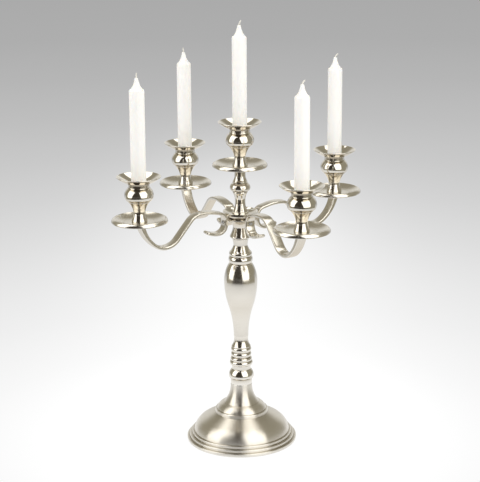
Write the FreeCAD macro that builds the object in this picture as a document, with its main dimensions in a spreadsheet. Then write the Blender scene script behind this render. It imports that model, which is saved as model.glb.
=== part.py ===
"""Five-light tabletop candelabra: a turned column on a bell base, carrying a branch unit
with four scrolled strap arms, a centre stem, five drip pans, five candle cups and five
candles. Millimetres, +Z up, origin at the middle of the felt that the base stands on."""
import FreeCAD, Part
import math
import os
import Sketcher
from FreeCAD import Placement, Rotation, Vector

SIZES = [
    # Base
    ("base_radius", 84.0, "lowest rim ring of the bell base"),
    ("rim_step", 3.9, "how far each rim ring stands inside the one below"),
    ("rim_rise", 4.7, "height of one rim ring"),
    ("lower_tier_radius", 73.5, "foot of the lower bell"),
    ("lower_break_radius", 60.0, "end of the lower bell's round shoulder"),
    ("lower_break_height", 33.2, "height of that end"),
    ("step_radius", 40.5, "ring between the two bell tiers"),
    ("step_height", 43.7, "underside of that ring"),
    ("step_rise", 5.2, "thickness of that ring"),
    ("upper_tier_radius", 38.0, "foot of the upper bell"),
    ("upper_break_radius", 27.0, "end of the upper bell's round shoulder"),
    ("upper_break_height", 59.0, "height of that end"),
    ("bell_neck_radius", 16.6, "narrow top of the bell"),
    ("bell_collar", 2.6, "straight land under the top of the bell"),
    ("bell_height", 89.6, "rim to top of the bell casting"),
    ("bell_wall", 2.4, "wall of the hollow bell"),
    ("bell_roof", 3.6, "metal over the hollow, under the knop"),
    ("lower_sweep", 48.0, "angle of the lower bell's arc"),
    ("upper_sweep", 52.0, "angle of the upper bell's arc"),
    ("neck_sweep", 44.0, "angle of the hollow curve up to the neck"),
    ("felt_reveal", 0.4, "how far the felt stands below the metal rim"),
    ("felt_thick", 1.6, "felt"),
    ("plate_thick", 2.0, "base plate"),
    ("plate_radius", 78.6, "base plate and felt"),
    ("plate_gap", 0.2, "base plate in its recess, each side"),
    # Tie rod and its fasteners
    ("rod_radius", 4.0, "M8 tie rod"),
    ("rod_tail", 5.0, "rod below its nut"),
    ("rod_grip", 7.0, "rod screwed into the neck spool"),
    ("rod_chamfer", 0.6, "rod and stud end chamfers"),
    ("thread_gap", 0.05, "rod and stud in their threads and bores, each side"),
    ("washer_radius", 10.5, "base washer"),
    ("washer_thick", 1.6, "base washer"),
    ("nut_across_corners", 15.0, "base nut"),
    ("nut_thick", 6.5, "base nut"),
    # Column
    ("knop_height", 30.0, "base knop"),
    ("knop_collar_radius", 16.6, "its collar on the bell"),
    ("knop_groove_radius", 15.4, "groove over the ball"),
    ("knop_ball_low", 8.6, "top of the collar and start of the ball"),
    ("knop_ball_high", 22.6, "end of the ball"),
    ("knop_neck_radius", 14.3, "neck over the ball"),
    ("ball_sweep", 100.0, "angle of the base knop's ball"),
    ("rings_height", 29.5, "ring stack"),
    ("rings_low_radius", 16.8, "large lower ring"),
    ("rings_mid_radius", 15.6, "bead over it"),
    ("rings_top_radius", 14.7, "two upper rings"),
    ("rings_groove_radius", 13.7, "grooves between the rings"),
    ("rings_foot", 6.2, "height of the large ring"),
    ("rings_bead", 5.6, "height of the bead"),
    ("rings_groove", 1.7, "width of each groove"),
    ("rings_band", 6.3, "height of each upper ring"),
    ("ring_sweep", 70.0, "roundness of the rings"),
    ("baluster_height", 131.5, "baluster"),
    ("baluster_foot_radius", 14.8, "flared foot"),
    ("baluster_waist_radius", 11.2, "thinnest point"),
    ("baluster_waist_height", 16.5, "height of the thinnest point"),
    ("baluster_flank_radius", 19.4, "where the hollow flank turns round"),
    ("baluster_flank_height", 66.5, "height of that point"),
    ("baluster_belly_radius", 25.2, "fullest point"),
    ("baluster_belly_height", 104.3, "height of the fullest point"),
    ("baluster_top_radius", 17.6, "top of the baluster"),
    ("foot_sweep", 48.0, "angle of the flared foot"),
    ("flank_sweep", 18.5, "angle of the hollow flank"),
    ("belly_sweep", 17.5, "angle of the flank's round part"),
    ("shoulder_sweep", 31.0, "angle from the belly to the top"),
    ("neck_ring_height", 12.5, "ring over the baluster"),
    ("neck_ring_radius", 17.0, "ring at its edges"),
    ("neck_ring_land_radius", 15.6, "lands over and under the ring"),
    ("neck_ring_land", 1.4, "height of each land"),
    ("neck_ring_sweep", 58.0, "roundness of the ring"),
    ("spool_height", 26.7, "neck spool"),
    ("spool_foot_radius", 16.6, "its foot"),
    ("spool_foot_rise", 5.2, "height of its foot"),
    ("spool_foot_sweep", 60.0, "roundness of its foot"),
    ("spool_waist_radius", 10.6, "its waist"),
    ("spool_waist_height", 15.2, "height of its waist"),
    ("spool_head_radius", 12.4, "its head"),
    ("spool_head_rise", 1.6, "straight land under its top"),
    ("spool_sweep", 22.0, "angle of its hollow curve"),
    # Swivel
    ("spindle_radius", 6.0, "branch spindle"),
    ("spindle_length", 17.5, "branch spindle under its collar"),
    ("swivel_fit", 0.05, "spindle in its socket, each side"),
    ("swivel_gap", 0.1, "collar over the thrust washer"),
    ("socket_relief", 0.7, "space under the end of the spindle"),
    ("thrust_thick", 0.8, "thrust washer"),
    ("thrust_radius", 11.6, "thrust washer"),
    ("washer_fit", 0.3, "thrust washer round the spindle, each side"),
    # Hub
    ("collar_height", 16.5, "hub collar"),
    ("collar_foot_radius", 15.6, "its foot"),
    ("collar_foot_rise", 3.2, "height of its foot"),
    ("collar_top_radius", 11.25, "its top"),
    ("collar_sweep", 24.0, "angle of its hollow side"),
    ("flange_height", 15.3, "hub flange"),
    ("flange_radius", 21.75, "its edge"),
    ("flange_edge_low", 12.6, "lower corner of its edge"),
    ("flange_edge_high", 14.3, "upper corner of its edge"),
    ("flange_top_radius", 19.2, "its top face"),
    ("flange_sweep", 62.0, "angle of the cove under the edge"),
    ("boss_radius", 3.1, "boss behind each arm"),
    ("boss_height", 10.9, "boss centre over the flange's foot"),
    ("boss_root", 14.0, "where each boss starts, inside the flange"),
    ("dish_height", 9.2, "hub dish"),
    ("dish_foot_radius", 18.6, "its foot"),
    ("dish_rim_radius", 26.2, "its rim"),
    ("dish_rim_width", 1.4, "width of the rim's flat"),
    ("dish_floor", 4.0, "height of its floor"),
    ("dish_floor_radius", 13.2, "flat part of the floor"),
    ("dish_edge", 3.8, "thickness of its edge"),
    ("dish_under_sweep", 30.0, "angle of its underside"),
    ("dish_sweep", 34.0, "angle of its hollow"),
    # Centre stem
    ("stem_height", 70.6, "centre stem, foot to pan"),
    ("stem_foot_radius", 12.0, "foot ring"),
    ("stem_foot_rise", 4.6, "height of the foot ring"),
    ("stem_ankle_radius", 11.1, "flare over the foot ring"),
    ("stem_waist_radius", 7.8, "waist"),
    ("stem_waist_height", 21.4, "height of the waist"),
    ("stem_collar_radius", 11.2, "collar under the ball"),
    ("stem_collar_height", 33.7, "height of the collar"),
    ("stem_ball_radius", 10.9, "ball at its grooves"),
    ("stem_ball_low", 35.7, "lower groove"),
    ("stem_ball_high", 48.2, "upper groove"),
    ("stem_flare_radius", 11.0, "flare over the ball"),
    ("stem_flare_height", 50.4, "height of that flare"),
    ("stem_neck_radius", 8.2, "neck under the pan"),
    ("stem_neck_height", 59.0, "height where the neck is thinnest"),
    ("stem_ball_sweep", 140.0, "angle of the ball"),
    ("stem_sweep", 30.0, "angle of the hollow curves"),
    # Arms
    ("arm_reach", 168.5, "axis to the middle of each side candle"),
    ("arm_rise", 44.9, "arm seat over the hub collar's foot"),
    ("strap_width", 15.6, "arm strap, across"),
    ("strap_thick", 5.0, "arm strap, through"),
    ("strap_corner", 1.5, "rounding of the strap's corners"),
    ("strap_back", 24.9, "axis to the strap's flat back"),
    ("back_length", 6.0, "straight back of the scroll"),
    ("leg_lead", 6.4, "straight start of the leg under the pan"),
    ("leg_lean", 18.0, "lean of the leg from upright"),
    ("leg_turn", 35.5, "turn of the leg's gentle bend"),
    ("leg_bend", 57.0, "radius of the leg's gentle bend"),
    ("sag_turn", 85.5, "turn of the low bend"),
    ("sag_bend", 27.4, "radius of the low bend"),
    ("rise_turn", 44.4, "turn over the shoulder to level"),
    ("rise_bend", 25.8, "radius of the shoulder"),
    ("crest_turn", 17.4, "turn along the crest"),
    ("crest_bend", 79.0, "radius of the crest"),
    ("scroll_bend", 12.1, "radius from the crest to the back"),
    ("curl_turn", 90.0, "turn from the back to the scroll's foot"),
    ("curl_bend", 13.2, "radius from the back to the scroll's foot"),
    ("tip_turn", 28.5, "turn of the scroll's tip"),
    ("tip_bend", 42.0, "radius of the scroll's tip"),
    ("seat_depth", 15.0, "height of the thick seat at each arm's end"),
    ("seat_thick", 8.6, "thickness of that seat"),
    ("seat_inset", 0.4, "seat inside the strap's sides"),
    ("seat_taper", 0.6, "narrowing of the seat's outer face"),
    ("seat_cap", 2.0, "seat over the start of the strap"),
    ("arm_grip", 7.5, "stud screwed into an arm's seat"),
    ("screw_radius", 1.5, "M3 arm screw"),
    ("screw_length", 14.0, "M3 arm screw under its head"),
    ("screw_head_radius", 2.8, "its head"),
    ("screw_head_thick", 1.9, "its head"),
    ("screw_head_sweep", 50.0, "roundness of its head"),
    # Pans, cups and studs
    ("stud_radius", 2.5, "M5 stud and stem rod"),
    ("stud_grip", 11.0, "stud screwed into a cup"),
    ("stud_relief", 0.5, "space past the end of a stud"),
    ("rod_hub_grip", 12.0, "stem rod screwed into the hub collar"),
    ("pan_boss_radius", 12.5, "flat boss under a drip pan"),
    ("pan_boss_drop", 1.9, "boss below the pan's underside"),
    ("pan_wall", 1.3, "drip pan"),
    ("pan_floor_radius", 22.0, "flat floor of a drip pan"),
    ("pan_lip_radius", 37.0, "highest ridge of a drip pan"),
    ("pan_lip_rise", 5.5, "ridge over the floor"),
    ("pan_radius", 41.0, "drip pan"),
    ("pan_edge_drop", 0.6, "lower edge of the flange under the floor"),
    ("pan_sweep", 22.0, "angle of the pan's hollow"),
    ("pan_flange_sweep", 40.0, "angle of the turned-down flange"),
    ("cup_height", 66.6, "candle cup"),
    ("cup_foot_radius", 11.4, "its foot"),
    ("cup_foot_rise", 2.2, "height of its foot"),
    ("cup_waist_radius", 8.7, "its waist"),
    ("cup_waist_height", 15.9, "height of its waist"),
    ("cup_ridge_radius", 16.2, "ridge under its ball"),
    ("cup_ridge_height", 29.6, "height of that ridge"),
    ("cup_ball_radius", 18.7, "its ball at the lower edge"),
    ("cup_ball_low", 31.9, "lower edge of the ball"),
    ("cup_ball_high", 50.5, "upper edge of the ball"),
    ("cup_ball_top_radius", 15.6, "its ball at the upper edge"),
    ("cup_throat_radius", 15.3, "throat under the funnel"),
    ("cup_throat_height", 55.6, "height of the throat"),
    ("cup_rim_radius", 32.4, "rim"),
    ("cup_wall", 1.2, "funnel"),
    ("cup_mouth_radius", 13.3, "inside of the throat"),
    ("cup_ball_sweep", 95.0, "angle of the ball"),
    ("cup_foot_sweep", 30.0, "angle of the curve over the foot"),
    ("funnel_sweep", 16.0, "angle of the funnel"),
    ("socket_depth", 36.0, "rim to the socket's floor"),
    ("socket_fit", 0.35, "candle in its socket, each side"),
    ("candle_float", 0.1, "candle over the socket's floor"),
    # Candles
    ("candle_radius", 11.0, "household candle"),
    ("candle_shoulder", 159.2, "foot to shoulder"),
    ("shoulder_round", 2.4, "round edge of the shoulder"),
    ("shoulder_sweep_round", 50.0, "angle of that edge"),
    ("cone_rise", 18.6, "shoulder to the top of the cone"),
    ("cone_top_radius", 2.4, "top of the cone"),
    ("cone_sweep", 16.0, "angle of the cone's hollow side"),
    ("wick_radius", 1.1, "waxed wick"),
    ("wick_fit", 0.05, "wick in its candle, each side"),
    ("wick_bend", 4.5, "radius of a wick's bend"),
    ("wick_free", 7.0, "length of wick over the cone"),
    ("wick_turn_1", 78.0, "bend of the first arm's wick"),
    ("wick_turn_2", 8.0, "second candle's"),
    ("wick_turn_3", 6.0, "third candle's"),
    ("wick_turn_4", 62.0, "fourth candle's"),
    ("wick_turn_5", 24.0, "centre candle's"),
    ("wick_heading_1", -25.0, "heading of that bend"),
    ("wick_heading_2", 150.0, "second candle's"),
    ("wick_heading_3", 20.0, "third candle's"),
    ("wick_heading_4", -35.0, "fourth candle's"),
    ("wick_heading_5", -31.0, "centre candle's"),
]

ARM_COUNT = 4
ON_AXIS = 1e-9  # a distance below this counts as none

# Heights of the seats, each from the one below.
BELL_SEAT = "Size.felt_reveal"
KNOP_SEAT = BELL_SEAT + " + Size.bell_height"
RINGS_SEAT = KNOP_SEAT + " + Size.knop_height"
BALUSTER_SEAT = RINGS_SEAT + " + Size.rings_height"
NECK_RING_SEAT = BALUSTER_SEAT + " + Size.baluster_height"
SPOOL_SEAT = NECK_RING_SEAT + " + Size.neck_ring_height"
THRUST_SEAT = SPOOL_SEAT + " + Size.spool_height"
HUB_SEAT = THRUST_SEAT + " + Size.thrust_thick + Size.swivel_gap"
FLANGE_SEAT = HUB_SEAT + " + Size.collar_height"
DISH_SEAT = FLANGE_SEAT + " + Size.flange_height"
STEM_SEAT = DISH_SEAT + " + Size.dish_floor"
CENTRE_SEAT = STEM_SEAT + " + Size.stem_height"
SIDE_SEAT = HUB_SEAT + " + Size.arm_rise"
PAN_FLOOR = "Size.pan_boss_drop + Size.pan_wall"
ROD_BORE = "Size.rod_radius + Size.thread_gap"
STUD_BORE = "Size.stud_radius + Size.thread_gap"
STUD_HOLE = "Size.stud_grip + Size.stud_relief"
SCREW_BORE = "Size.screw_radius + Size.thread_gap"
BACK_HEIGHT = "Size.collar_height + Size.boss_height"
STRAP_START_REACH = "Size.arm_reach - Size.seat_cap * tan(Size.leg_lean * 1 deg)"
STRAP_START_RISE = "Size.arm_rise - Size.seat_cap"
CANDLE_SEAT = PAN_FLOOR + " + Size.cup_height - Size.socket_depth + Size.candle_float"

doc = FreeCAD.newDocument("Candelabra")
sheet = doc.addObject("Spreadsheet::Sheet", "Size")
parts = []


def fill_sheet():
    """Write the driving dimensions, one to a row, and name their cells."""
    for row, (alias, number, note) in enumerate(SIZES, start=1):
        sheet.set(f"A{row}", alias)
        sheet.set(f"B{row}", str(number))
        sheet.set(f"C{row}", note)
        sheet.setAlias(f"B{row}", alias)
    doc.recompute()


def value(expression):
    """Return what a size expression is worth now, in millimetres or degrees."""
    result = sheet.evalExpression(expression)
    return float(getattr(result, "Value", result))


def arm_angle(number):
    """Return the turn of an arm about the column, in degrees."""
    return 360.0 / ARM_COUNT * (number - 1)


def keep(piece, name, height, turn=None, reach=None):
    """Name a finished piece, stand it at its height and list it for export."""
    piece.Label = name
    piece.setExpression("Placement.Base.z", height)
    if turn is not None:
        piece.Placement = Placement(Vector(0, 0, 0), Rotation(Vector(0, 0, 1), turn))
        piece.setExpression("Placement.Base.z", height)
    if reach is not None:
        angle = math.radians(turn)
        piece.setExpression("Placement.Base.x", f"{reach} * {math.cos(angle):.6f}")
        piece.setExpression("Placement.Base.y", f"{reach} * {math.sin(angle):.6f}")
    parts.append(piece)
    return piece


def plane_sketch(body, role, name, **offsets):
    """Attach a sketch to one of the body's origin planes, moved by bound offsets."""
    plane = next(item for item in body.Origin.OriginFeatures if item.Role == role)
    sketch = body.newObject("Sketcher::SketchObject", name)
    sketch.AttachmentSupport = (plane, "")
    sketch.MapMode = "FlatFace"
    for axis, expression in offsets.items():
        sketch.setExpression(f"AttachmentOffset.Base.{axis}", expression)
    return sketch


def arc_between(start, end, sweep):
    """Return the arc from start to end; a positive sweep bulges to the right of travel."""
    chord = end - start
    radius = chord.Length / (2.0 * math.sin(math.radians(abs(sweep)) / 2.0))
    height = radius * math.cos(math.radians(abs(sweep)) / 2.0)
    left = Vector(-chord.y, chord.x, 0).normalize()
    side = 1.0 if sweep > 0 else -1.0
    centre = (start + end) * 0.5 + left * (height * side)
    first, last = (start, end) if sweep > 0 else (end, start)
    low = math.atan2(first.y - centre.y, first.x - centre.x)
    high = math.atan2(last.y - centre.y, last.x - centre.x)
    if high < low:
        high += 2.0 * math.pi
    return Part.ArcOfCircle(Part.Circle(centre, Vector(0, 0, 1), radius), low, high)


def pin_point(sketch, geometry, end, across, up):
    """Bind one end of a curve to its two distances from the sketch's origin."""
    for kind, axis, expression in (("DistanceX", -2, across), ("DistanceY", -1, up)):
        number = value(expression)
        if abs(number) < ON_AXIS:
            sketch.addConstraint(Sketcher.Constraint("PointOnObject", geometry, end, axis))
        elif number > 0:
            pin = Sketcher.Constraint(kind, -1, 1, geometry, end, number)
            sketch.setExpression(f"Constraints[{sketch.addConstraint(pin)}]", expression)
        else:
            pin = Sketcher.Constraint(kind, geometry, end, -1, 1, -number)
            sketch.setExpression(f"Constraints[{sketch.addConstraint(pin)}]", f"-({expression})")


def bind(sketch, kind, geometry, expression):
    """Hold a curve's radius, length or angle at a size expression."""
    number = value(expression)
    if kind == "Angle":
        number = math.radians(number)
        expression = f"({expression}) * 1 deg"
    index = sketch.addConstraint(Sketcher.Constraint(kind, geometry, number))
    sketch.setExpression(f"Constraints[{index}]", expression)


def closed_outline(sketch, steps):
    """Draw a closed outline through (across, up) or (across, up, sweep) steps.

    The sweep belongs to the arc that arrives at its step and names a size, with a minus
    sign where the arc bulges to the left of travel.
    """
    points = [Vector(value(step[0]), value(step[1]), 0) for step in steps]
    entries = []
    for index, step in enumerate(steps):
        start, end = points[index - 1], points[index]
        sweep = value(step[2]) if len(step) > 2 else 0.0
        if sweep:
            geometry = sketch.addGeometry(arc_between(start, end, sweep))
            bind(sketch, "Angle", geometry, step[2] if sweep > 0 else f"-({step[2]})")
        else:
            geometry = sketch.addGeometry(Part.LineSegment(start, end))
        entries.append((geometry, 1 if sweep >= 0 else 2))
    for index, (geometry, entry) in enumerate(entries):
        before, before_entry = entries[index - 1]
        sketch.addConstraint(Sketcher.Constraint("Coincident", before, 3 - before_entry, geometry, entry))
        pin_point(sketch, geometry, 3 - entry, steps[index][0], steps[index][1])


def turned_body(name, steps):
    """Turn an outline of (radius, height) steps about the Z axis."""
    body = doc.addObject("PartDesign::Body", name)
    sketch = plane_sketch(body, "XZ_Plane", name + "_outline")
    closed_outline(sketch, steps)
    turn = body.newObject("PartDesign::Revolution", name + "_turn")
    turn.Profile = sketch
    turn.ReferenceAxis = (sketch, ["V_Axis"])
    turn.Angle = 360.0
    return body


def turned_on_bore(name, outside, bore):
    """Turn a piece that a rod passes through, from its outside and its bore."""
    return turned_body(name, outside + [(bore, outside[-1][1]), (bore, outside[0][1])])


def threaded_rod(name, radius, length):
    """Turn a rod with a chamfer at each end."""
    narrow = f"{radius} - Size.rod_chamfer"
    return turned_body(name, [
        ("0", "0"),
        (narrow, "0"),
        (radius, "Size.rod_chamfer"),
        (radius, f"{length} - Size.rod_chamfer"),
        (narrow, length),
        ("0", length),
    ])


def base_bell():
    """Hollow two-tier bell on three rim rings, with a recess for the base plate."""
    rim = "Size.base_radius"
    second = "Size.base_radius - Size.rim_step"
    third = "Size.base_radius - 2 * Size.rim_step"
    step_top = "Size.step_height + Size.step_rise"
    roof = "Size.bell_height - Size.bell_roof"
    recess = "Size.plate_radius + Size.plate_gap"
    recess_top = "Size.felt_thick + Size.plate_thick - Size.felt_reveal"
    bell = turned_body("base_bell", [
        (recess, "0"),
        (rim, "0"),
        (rim, "Size.rim_rise"),
        (second, "Size.rim_rise"),
        (second, "2 * Size.rim_rise"),
        (third, "2 * Size.rim_rise"),
        (third, "3 * Size.rim_rise"),
        ("Size.lower_tier_radius", "3 * Size.rim_rise"),
        ("Size.lower_break_radius", "Size.lower_break_height", "Size.lower_sweep"),
        ("Size.step_radius", "Size.step_height"),
        ("Size.step_radius", step_top),
        ("Size.upper_tier_radius", step_top),
        ("Size.upper_break_radius", "Size.upper_break_height", "Size.upper_sweep"),
        ("Size.bell_neck_radius", "Size.bell_height - Size.bell_collar", "-Size.neck_sweep"),
        ("Size.bell_neck_radius", "Size.bell_height"),
        (ROD_BORE, "Size.bell_height"),
        (ROD_BORE, roof),
        ("Size.bell_neck_radius - Size.bell_wall", roof),
        ("Size.upper_break_radius - Size.bell_wall", "Size.upper_break_height - Size.bell_wall",
         "Size.neck_sweep"),
        ("Size.upper_tier_radius - Size.bell_wall", step_top + " - Size.bell_wall",
         "-Size.upper_sweep"),
        ("Size.step_radius - Size.bell_wall", "Size.step_height - Size.bell_wall"),
        ("Size.lower_break_radius - Size.bell_wall", "Size.lower_break_height - Size.bell_wall"),
        ("Size.lower_tier_radius - Size.bell_wall", "3 * Size.rim_rise", "-Size.lower_sweep"),
        ("Size.lower_tier_radius - Size.bell_wall", recess_top),
        (recess, recess_top),
    ])
    return keep(bell, "base_bell", BELL_SEAT)


def disc(name, thickness, height):
    """Plain disc of the base plate's radius."""
    plate = turned_body(name, [
        ("0", "0"),
        ("Size.plate_radius", "0"),
        ("Size.plate_radius", thickness),
        ("0", thickness),
    ])
    return keep(plate, name, height)


def ring_piece(name, inside, outside, thickness, height):
    """Flat washer."""
    washer = turned_on_bore(name, [(outside, "0"), (outside, thickness)], inside)
    return keep(washer, name, height)


def base_nut():
    """Hexagon nut under the bell's roof."""
    blank = doc.addObject("Part::Prism", "base_nut_blank")
    blank.Polygon = 6
    blank.setExpression("Circumradius", "Size.nut_across_corners / 2")
    blank.setExpression("Height", "Size.nut_thick")
    thread = doc.addObject("Part::Cylinder", "base_nut_thread")
    thread.setExpression("Radius", ROD_BORE)
    thread.setExpression("Height", "Size.nut_thick")
    nut = doc.addObject("Part::Cut", "base_nut")
    nut.Base = blank
    nut.Tool = thread
    return keep(nut, "base_nut", KNOP_SEAT + " - Size.bell_roof - Size.washer_thick - Size.nut_thick")


def tie_rod():
    """Rod that draws the whole column together, from its nut to the neck spool."""
    foot = "Size.bell_roof + Size.washer_thick + Size.nut_thick + Size.rod_tail"
    length = f"{SPOOL_SEAT} + Size.rod_grip - ({KNOP_SEAT}) + {foot}"
    rod = threaded_rod("tie_rod", "Size.rod_radius", length)
    return keep(rod, "tie_rod", f"{KNOP_SEAT} - ({foot})")


def base_knop():
    """Collar, ball and neck over the bell."""
    knop = turned_on_bore("base_knop", [
        ("Size.knop_collar_radius", "0"),
        ("Size.knop_collar_radius", "Size.knop_ball_low"),
        ("Size.knop_groove_radius", "Size.knop_ball_high", "Size.ball_sweep"),
        ("Size.knop_neck_radius", "Size.knop_height"),
    ], ROD_BORE)
    return keep(knop, "base_knop", KNOP_SEAT)


def ring_stack():
    """Large ring, bead and two upper rings with grooves between them."""
    groove = "Size.rings_groove_radius"
    outside = [("Size.rings_low_radius", "0"),
               ("Size.rings_low_radius", "Size.rings_foot", "Size.ring_sweep"),
               ("Size.rings_mid_radius", "Size.rings_foot"),
               ("Size.rings_mid_radius", "Size.rings_foot + Size.rings_bead", "Size.ring_sweep")]
    top = "Size.rings_foot + Size.rings_bead"
    for _ in range(2):
        outside.append((groove, top))
        outside.append((groove, top + " + Size.rings_groove"))
        top += " + Size.rings_groove"
        outside.append(("Size.rings_top_radius", top))
        outside.append(("Size.rings_top_radius", top + " + Size.rings_band", "Size.ring_sweep"))
        top += " + Size.rings_band"
    outside.append((groove, top))
    outside.append((groove, "Size.rings_height"))
    return keep(turned_on_bore("ring_stack", outside, ROD_BORE), "ring_stack", RINGS_SEAT)


def baluster():
    """Tall inverted-pear baluster."""
    pear = turned_on_bore("baluster", [
        ("Size.baluster_foot_radius", "0"),
        ("Size.baluster_waist_radius", "Size.baluster_waist_height", "-Size.foot_sweep"),
        ("Size.baluster_flank_radius", "Size.baluster_flank_height", "-Size.flank_sweep"),
        ("Size.baluster_belly_radius", "Size.baluster_belly_height", "Size.belly_sweep"),
        ("Size.baluster_top_radius", "Size.baluster_height", "Size.shoulder_sweep"),
    ], ROD_BORE)
    return keep(pear, "baluster", BALUSTER_SEAT)


def neck_ring():
    """Round ring between two lands."""
    land_top = "Size.neck_ring_height - Size.neck_ring_land"
    ring = turned_on_bore("neck_ring", [
        ("Size.neck_ring_land_radius", "0"),
        ("Size.neck_ring_land_radius", "Size.neck_ring_land"),
        ("Size.neck_ring_radius", "Size.neck_ring_land"),
        ("Size.neck_ring_radius", land_top, "Size.neck_ring_sweep"),
        ("Size.neck_ring_land_radius", land_top),
        ("Size.neck_ring_land_radius", "Size.neck_ring_height"),
    ], ROD_BORE)
    return keep(ring, "neck_ring", NECK_RING_SEAT)


def neck_spool():
    """Waisted spool with the tie rod's thread below and the spindle's socket above."""
    socket = "Size.spindle_radius + Size.swivel_fit"
    floor = ("Size.spool_height + Size.thrust_thick + Size.swivel_gap"
             " - Size.spindle_length - Size.socket_relief")
    spool = turned_body("neck_spool", [
        (ROD_BORE, "0"),
        ("Size.spool_foot_radius", "0"),
        ("Size.spool_foot_radius", "Size.spool_foot_rise", "Size.spool_foot_sweep"),
        ("Size.spool_waist_radius", "Size.spool_waist_height", "-Size.spool_sweep"),
        ("Size.spool_head_radius", "Size.spool_height - Size.spool_head_rise"),
        ("Size.spool_head_radius", "Size.spool_height"),
        (socket, "Size.spool_height"),
        (socket, floor),
        (ROD_BORE, floor),
    ])
    return keep(spool, "neck_spool", SPOOL_SEAT)


def hub_collar():
    """Spindle that turns in the neck spool, and the collar that stands on it."""
    foot = "Size.spindle_length"
    top = "Size.spindle_length + Size.collar_height"
    thread_floor = top + " - Size.rod_hub_grip - Size.stud_relief"
    collar = turned_body("hub_collar", [
        ("0", "0"),
        ("Size.spindle_radius - Size.rod_chamfer", "0"),
        ("Size.spindle_radius", "Size.rod_chamfer"),
        ("Size.spindle_radius", foot),
        ("Size.collar_foot_radius", foot),
        ("Size.collar_foot_radius", foot + " + Size.collar_foot_rise"),
        ("Size.collar_top_radius", top, "-Size.collar_sweep"),
        (STUD_BORE, top),
        (STUD_BORE, thread_floor),
        ("0", thread_floor),
    ])
    return keep(collar, "hub_collar", f"{HUB_SEAT} - Size.spindle_length")


def hub_flange():
    """Coved flange with a threaded boss behind each arm."""
    flange = turned_on_bore("hub_flange", [
        ("Size.collar_top_radius", "0"),
        ("Size.flange_radius", "Size.flange_edge_low", "-Size.flange_sweep"),
        ("Size.flange_radius", "Size.flange_edge_high"),
        ("Size.flange_top_radius", "Size.flange_height"),
    ], STUD_BORE)
    for number in range(1, ARM_COUNT + 1):
        outline = radial_sketch(flange, f"hub_boss_{number}_outline", number, "Size.boss_root")
        circle_at(outline, "0", "Size.boss_height", "Size.boss_radius")
        boss = flange.newObject("PartDesign::Pad", f"hub_boss_{number}")
        boss.Profile = outline
        boss.setExpression("Length", "Size.strap_back - Size.boss_root")
        outline = radial_sketch(flange, f"hub_thread_{number}_outline", number, "Size.strap_back")
        circle_at(outline, "0", "Size.boss_height", SCREW_BORE)
        thread = flange.newObject("PartDesign::Pocket", f"hub_thread_{number}")
        thread.Profile = outline
        thread.setExpression("Length", "Size.screw_length - Size.strap_thick + Size.stud_relief")
    return keep(flange, "hub_flange", FLANGE_SEAT)


def radial_sketch(body, name, number, reach):
    """Attach an upright sketch that faces outwards along one arm, at a distance from the axis."""
    angle = arm_angle(number)
    sketch = plane_sketch(body, "YZ_Plane", name, x=f"({reach}) * sin({angle} deg)",
                          z=f"({reach}) * cos({angle} deg)")
    sketch.AttachmentOffset = Placement(Vector(0, 0, 0), Rotation(Vector(0, 1, 0), angle))
    return sketch


def circle_at(sketch, across, up, radius):
    """Draw a circle bound to its centre and radius."""
    centre = Vector(value(across), value(up), 0)
    circle = sketch.addGeometry(Part.Circle(centre, Vector(0, 0, 1), value(radius)))
    bind(sketch, "Radius", circle, radius)
    pin_point(sketch, circle, 3, across, up)


def hub_dish():
    """Shallow dish that the centre stem stands in."""
    rim = "Size.dish_rim_radius"
    dish = turned_on_bore("hub_dish", [
        ("Size.dish_foot_radius", "0"),
        (rim, "Size.dish_height - Size.dish_edge", "Size.dish_under_sweep"),
        (rim, "Size.dish_height"),
        (rim + " - Size.dish_rim_width", "Size.dish_height"),
        ("Size.dish_floor_radius", "Size.dish_floor", "-Size.dish_sweep"),
    ], STUD_BORE)
    return keep(dish, "hub_dish", DISH_SEAT)


def centre_stem():
    """Turned stem with a ball, between the hub dish and the centre pan."""
    stem = turned_on_bore("centre_stem", [
        ("Size.stem_foot_radius", "0"),
        ("Size.stem_foot_radius", "Size.stem_foot_rise"),
        ("Size.stem_ankle_radius", "Size.stem_foot_rise"),
        ("Size.stem_waist_radius", "Size.stem_waist_height", "-Size.stem_sweep"),
        ("Size.stem_collar_radius", "Size.stem_collar_height", "-Size.stem_sweep"),
        ("Size.stem_ball_radius", "Size.stem_ball_low"),
        ("Size.stem_ball_radius", "Size.stem_ball_high", "Size.stem_ball_sweep"),
        ("Size.stem_flare_radius", "Size.stem_flare_height"),
        ("Size.stem_neck_radius", "Size.stem_neck_height", "-Size.stem_sweep"),
        ("Size.stem_neck_radius", "Size.stem_height"),
    ], STUD_BORE)
    return keep(stem, "centre_stem", STEM_SEAT)


def stem_rod():
    """Stud from the hub collar up through the centre stem into the centre cup."""
    above = f"{CENTRE_SEAT} + {PAN_FLOOR} + Size.stud_grip"
    below = f"{FLANGE_SEAT} - Size.rod_hub_grip"
    rod = threaded_rod("stem_rod", "Size.stud_radius", f"{above} - ({below})")
    return keep(rod, "stem_rod", below)


# The strap's arcs by their place among its runs: name, turn and the side they turn to.
ARM_CURVES = {
    1: ("leg", "Size.leg_turn", 1),
    2: ("sag", "Size.sag_turn", 1),
    4: ("rise", "Size.rise_turn", -1),
    5: ("crest", "Size.crest_turn", -1),
    7: ("scroll", "Size.leg_lean + Size.leg_turn + Size.sag_turn - Size.rise_turn - Size.crest_turn", -1),
    9: ("curl", "Size.curl_turn", -1),
    10: ("tip", "Size.tip_turn", -1),
}
BACK_RUN = 8


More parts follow.
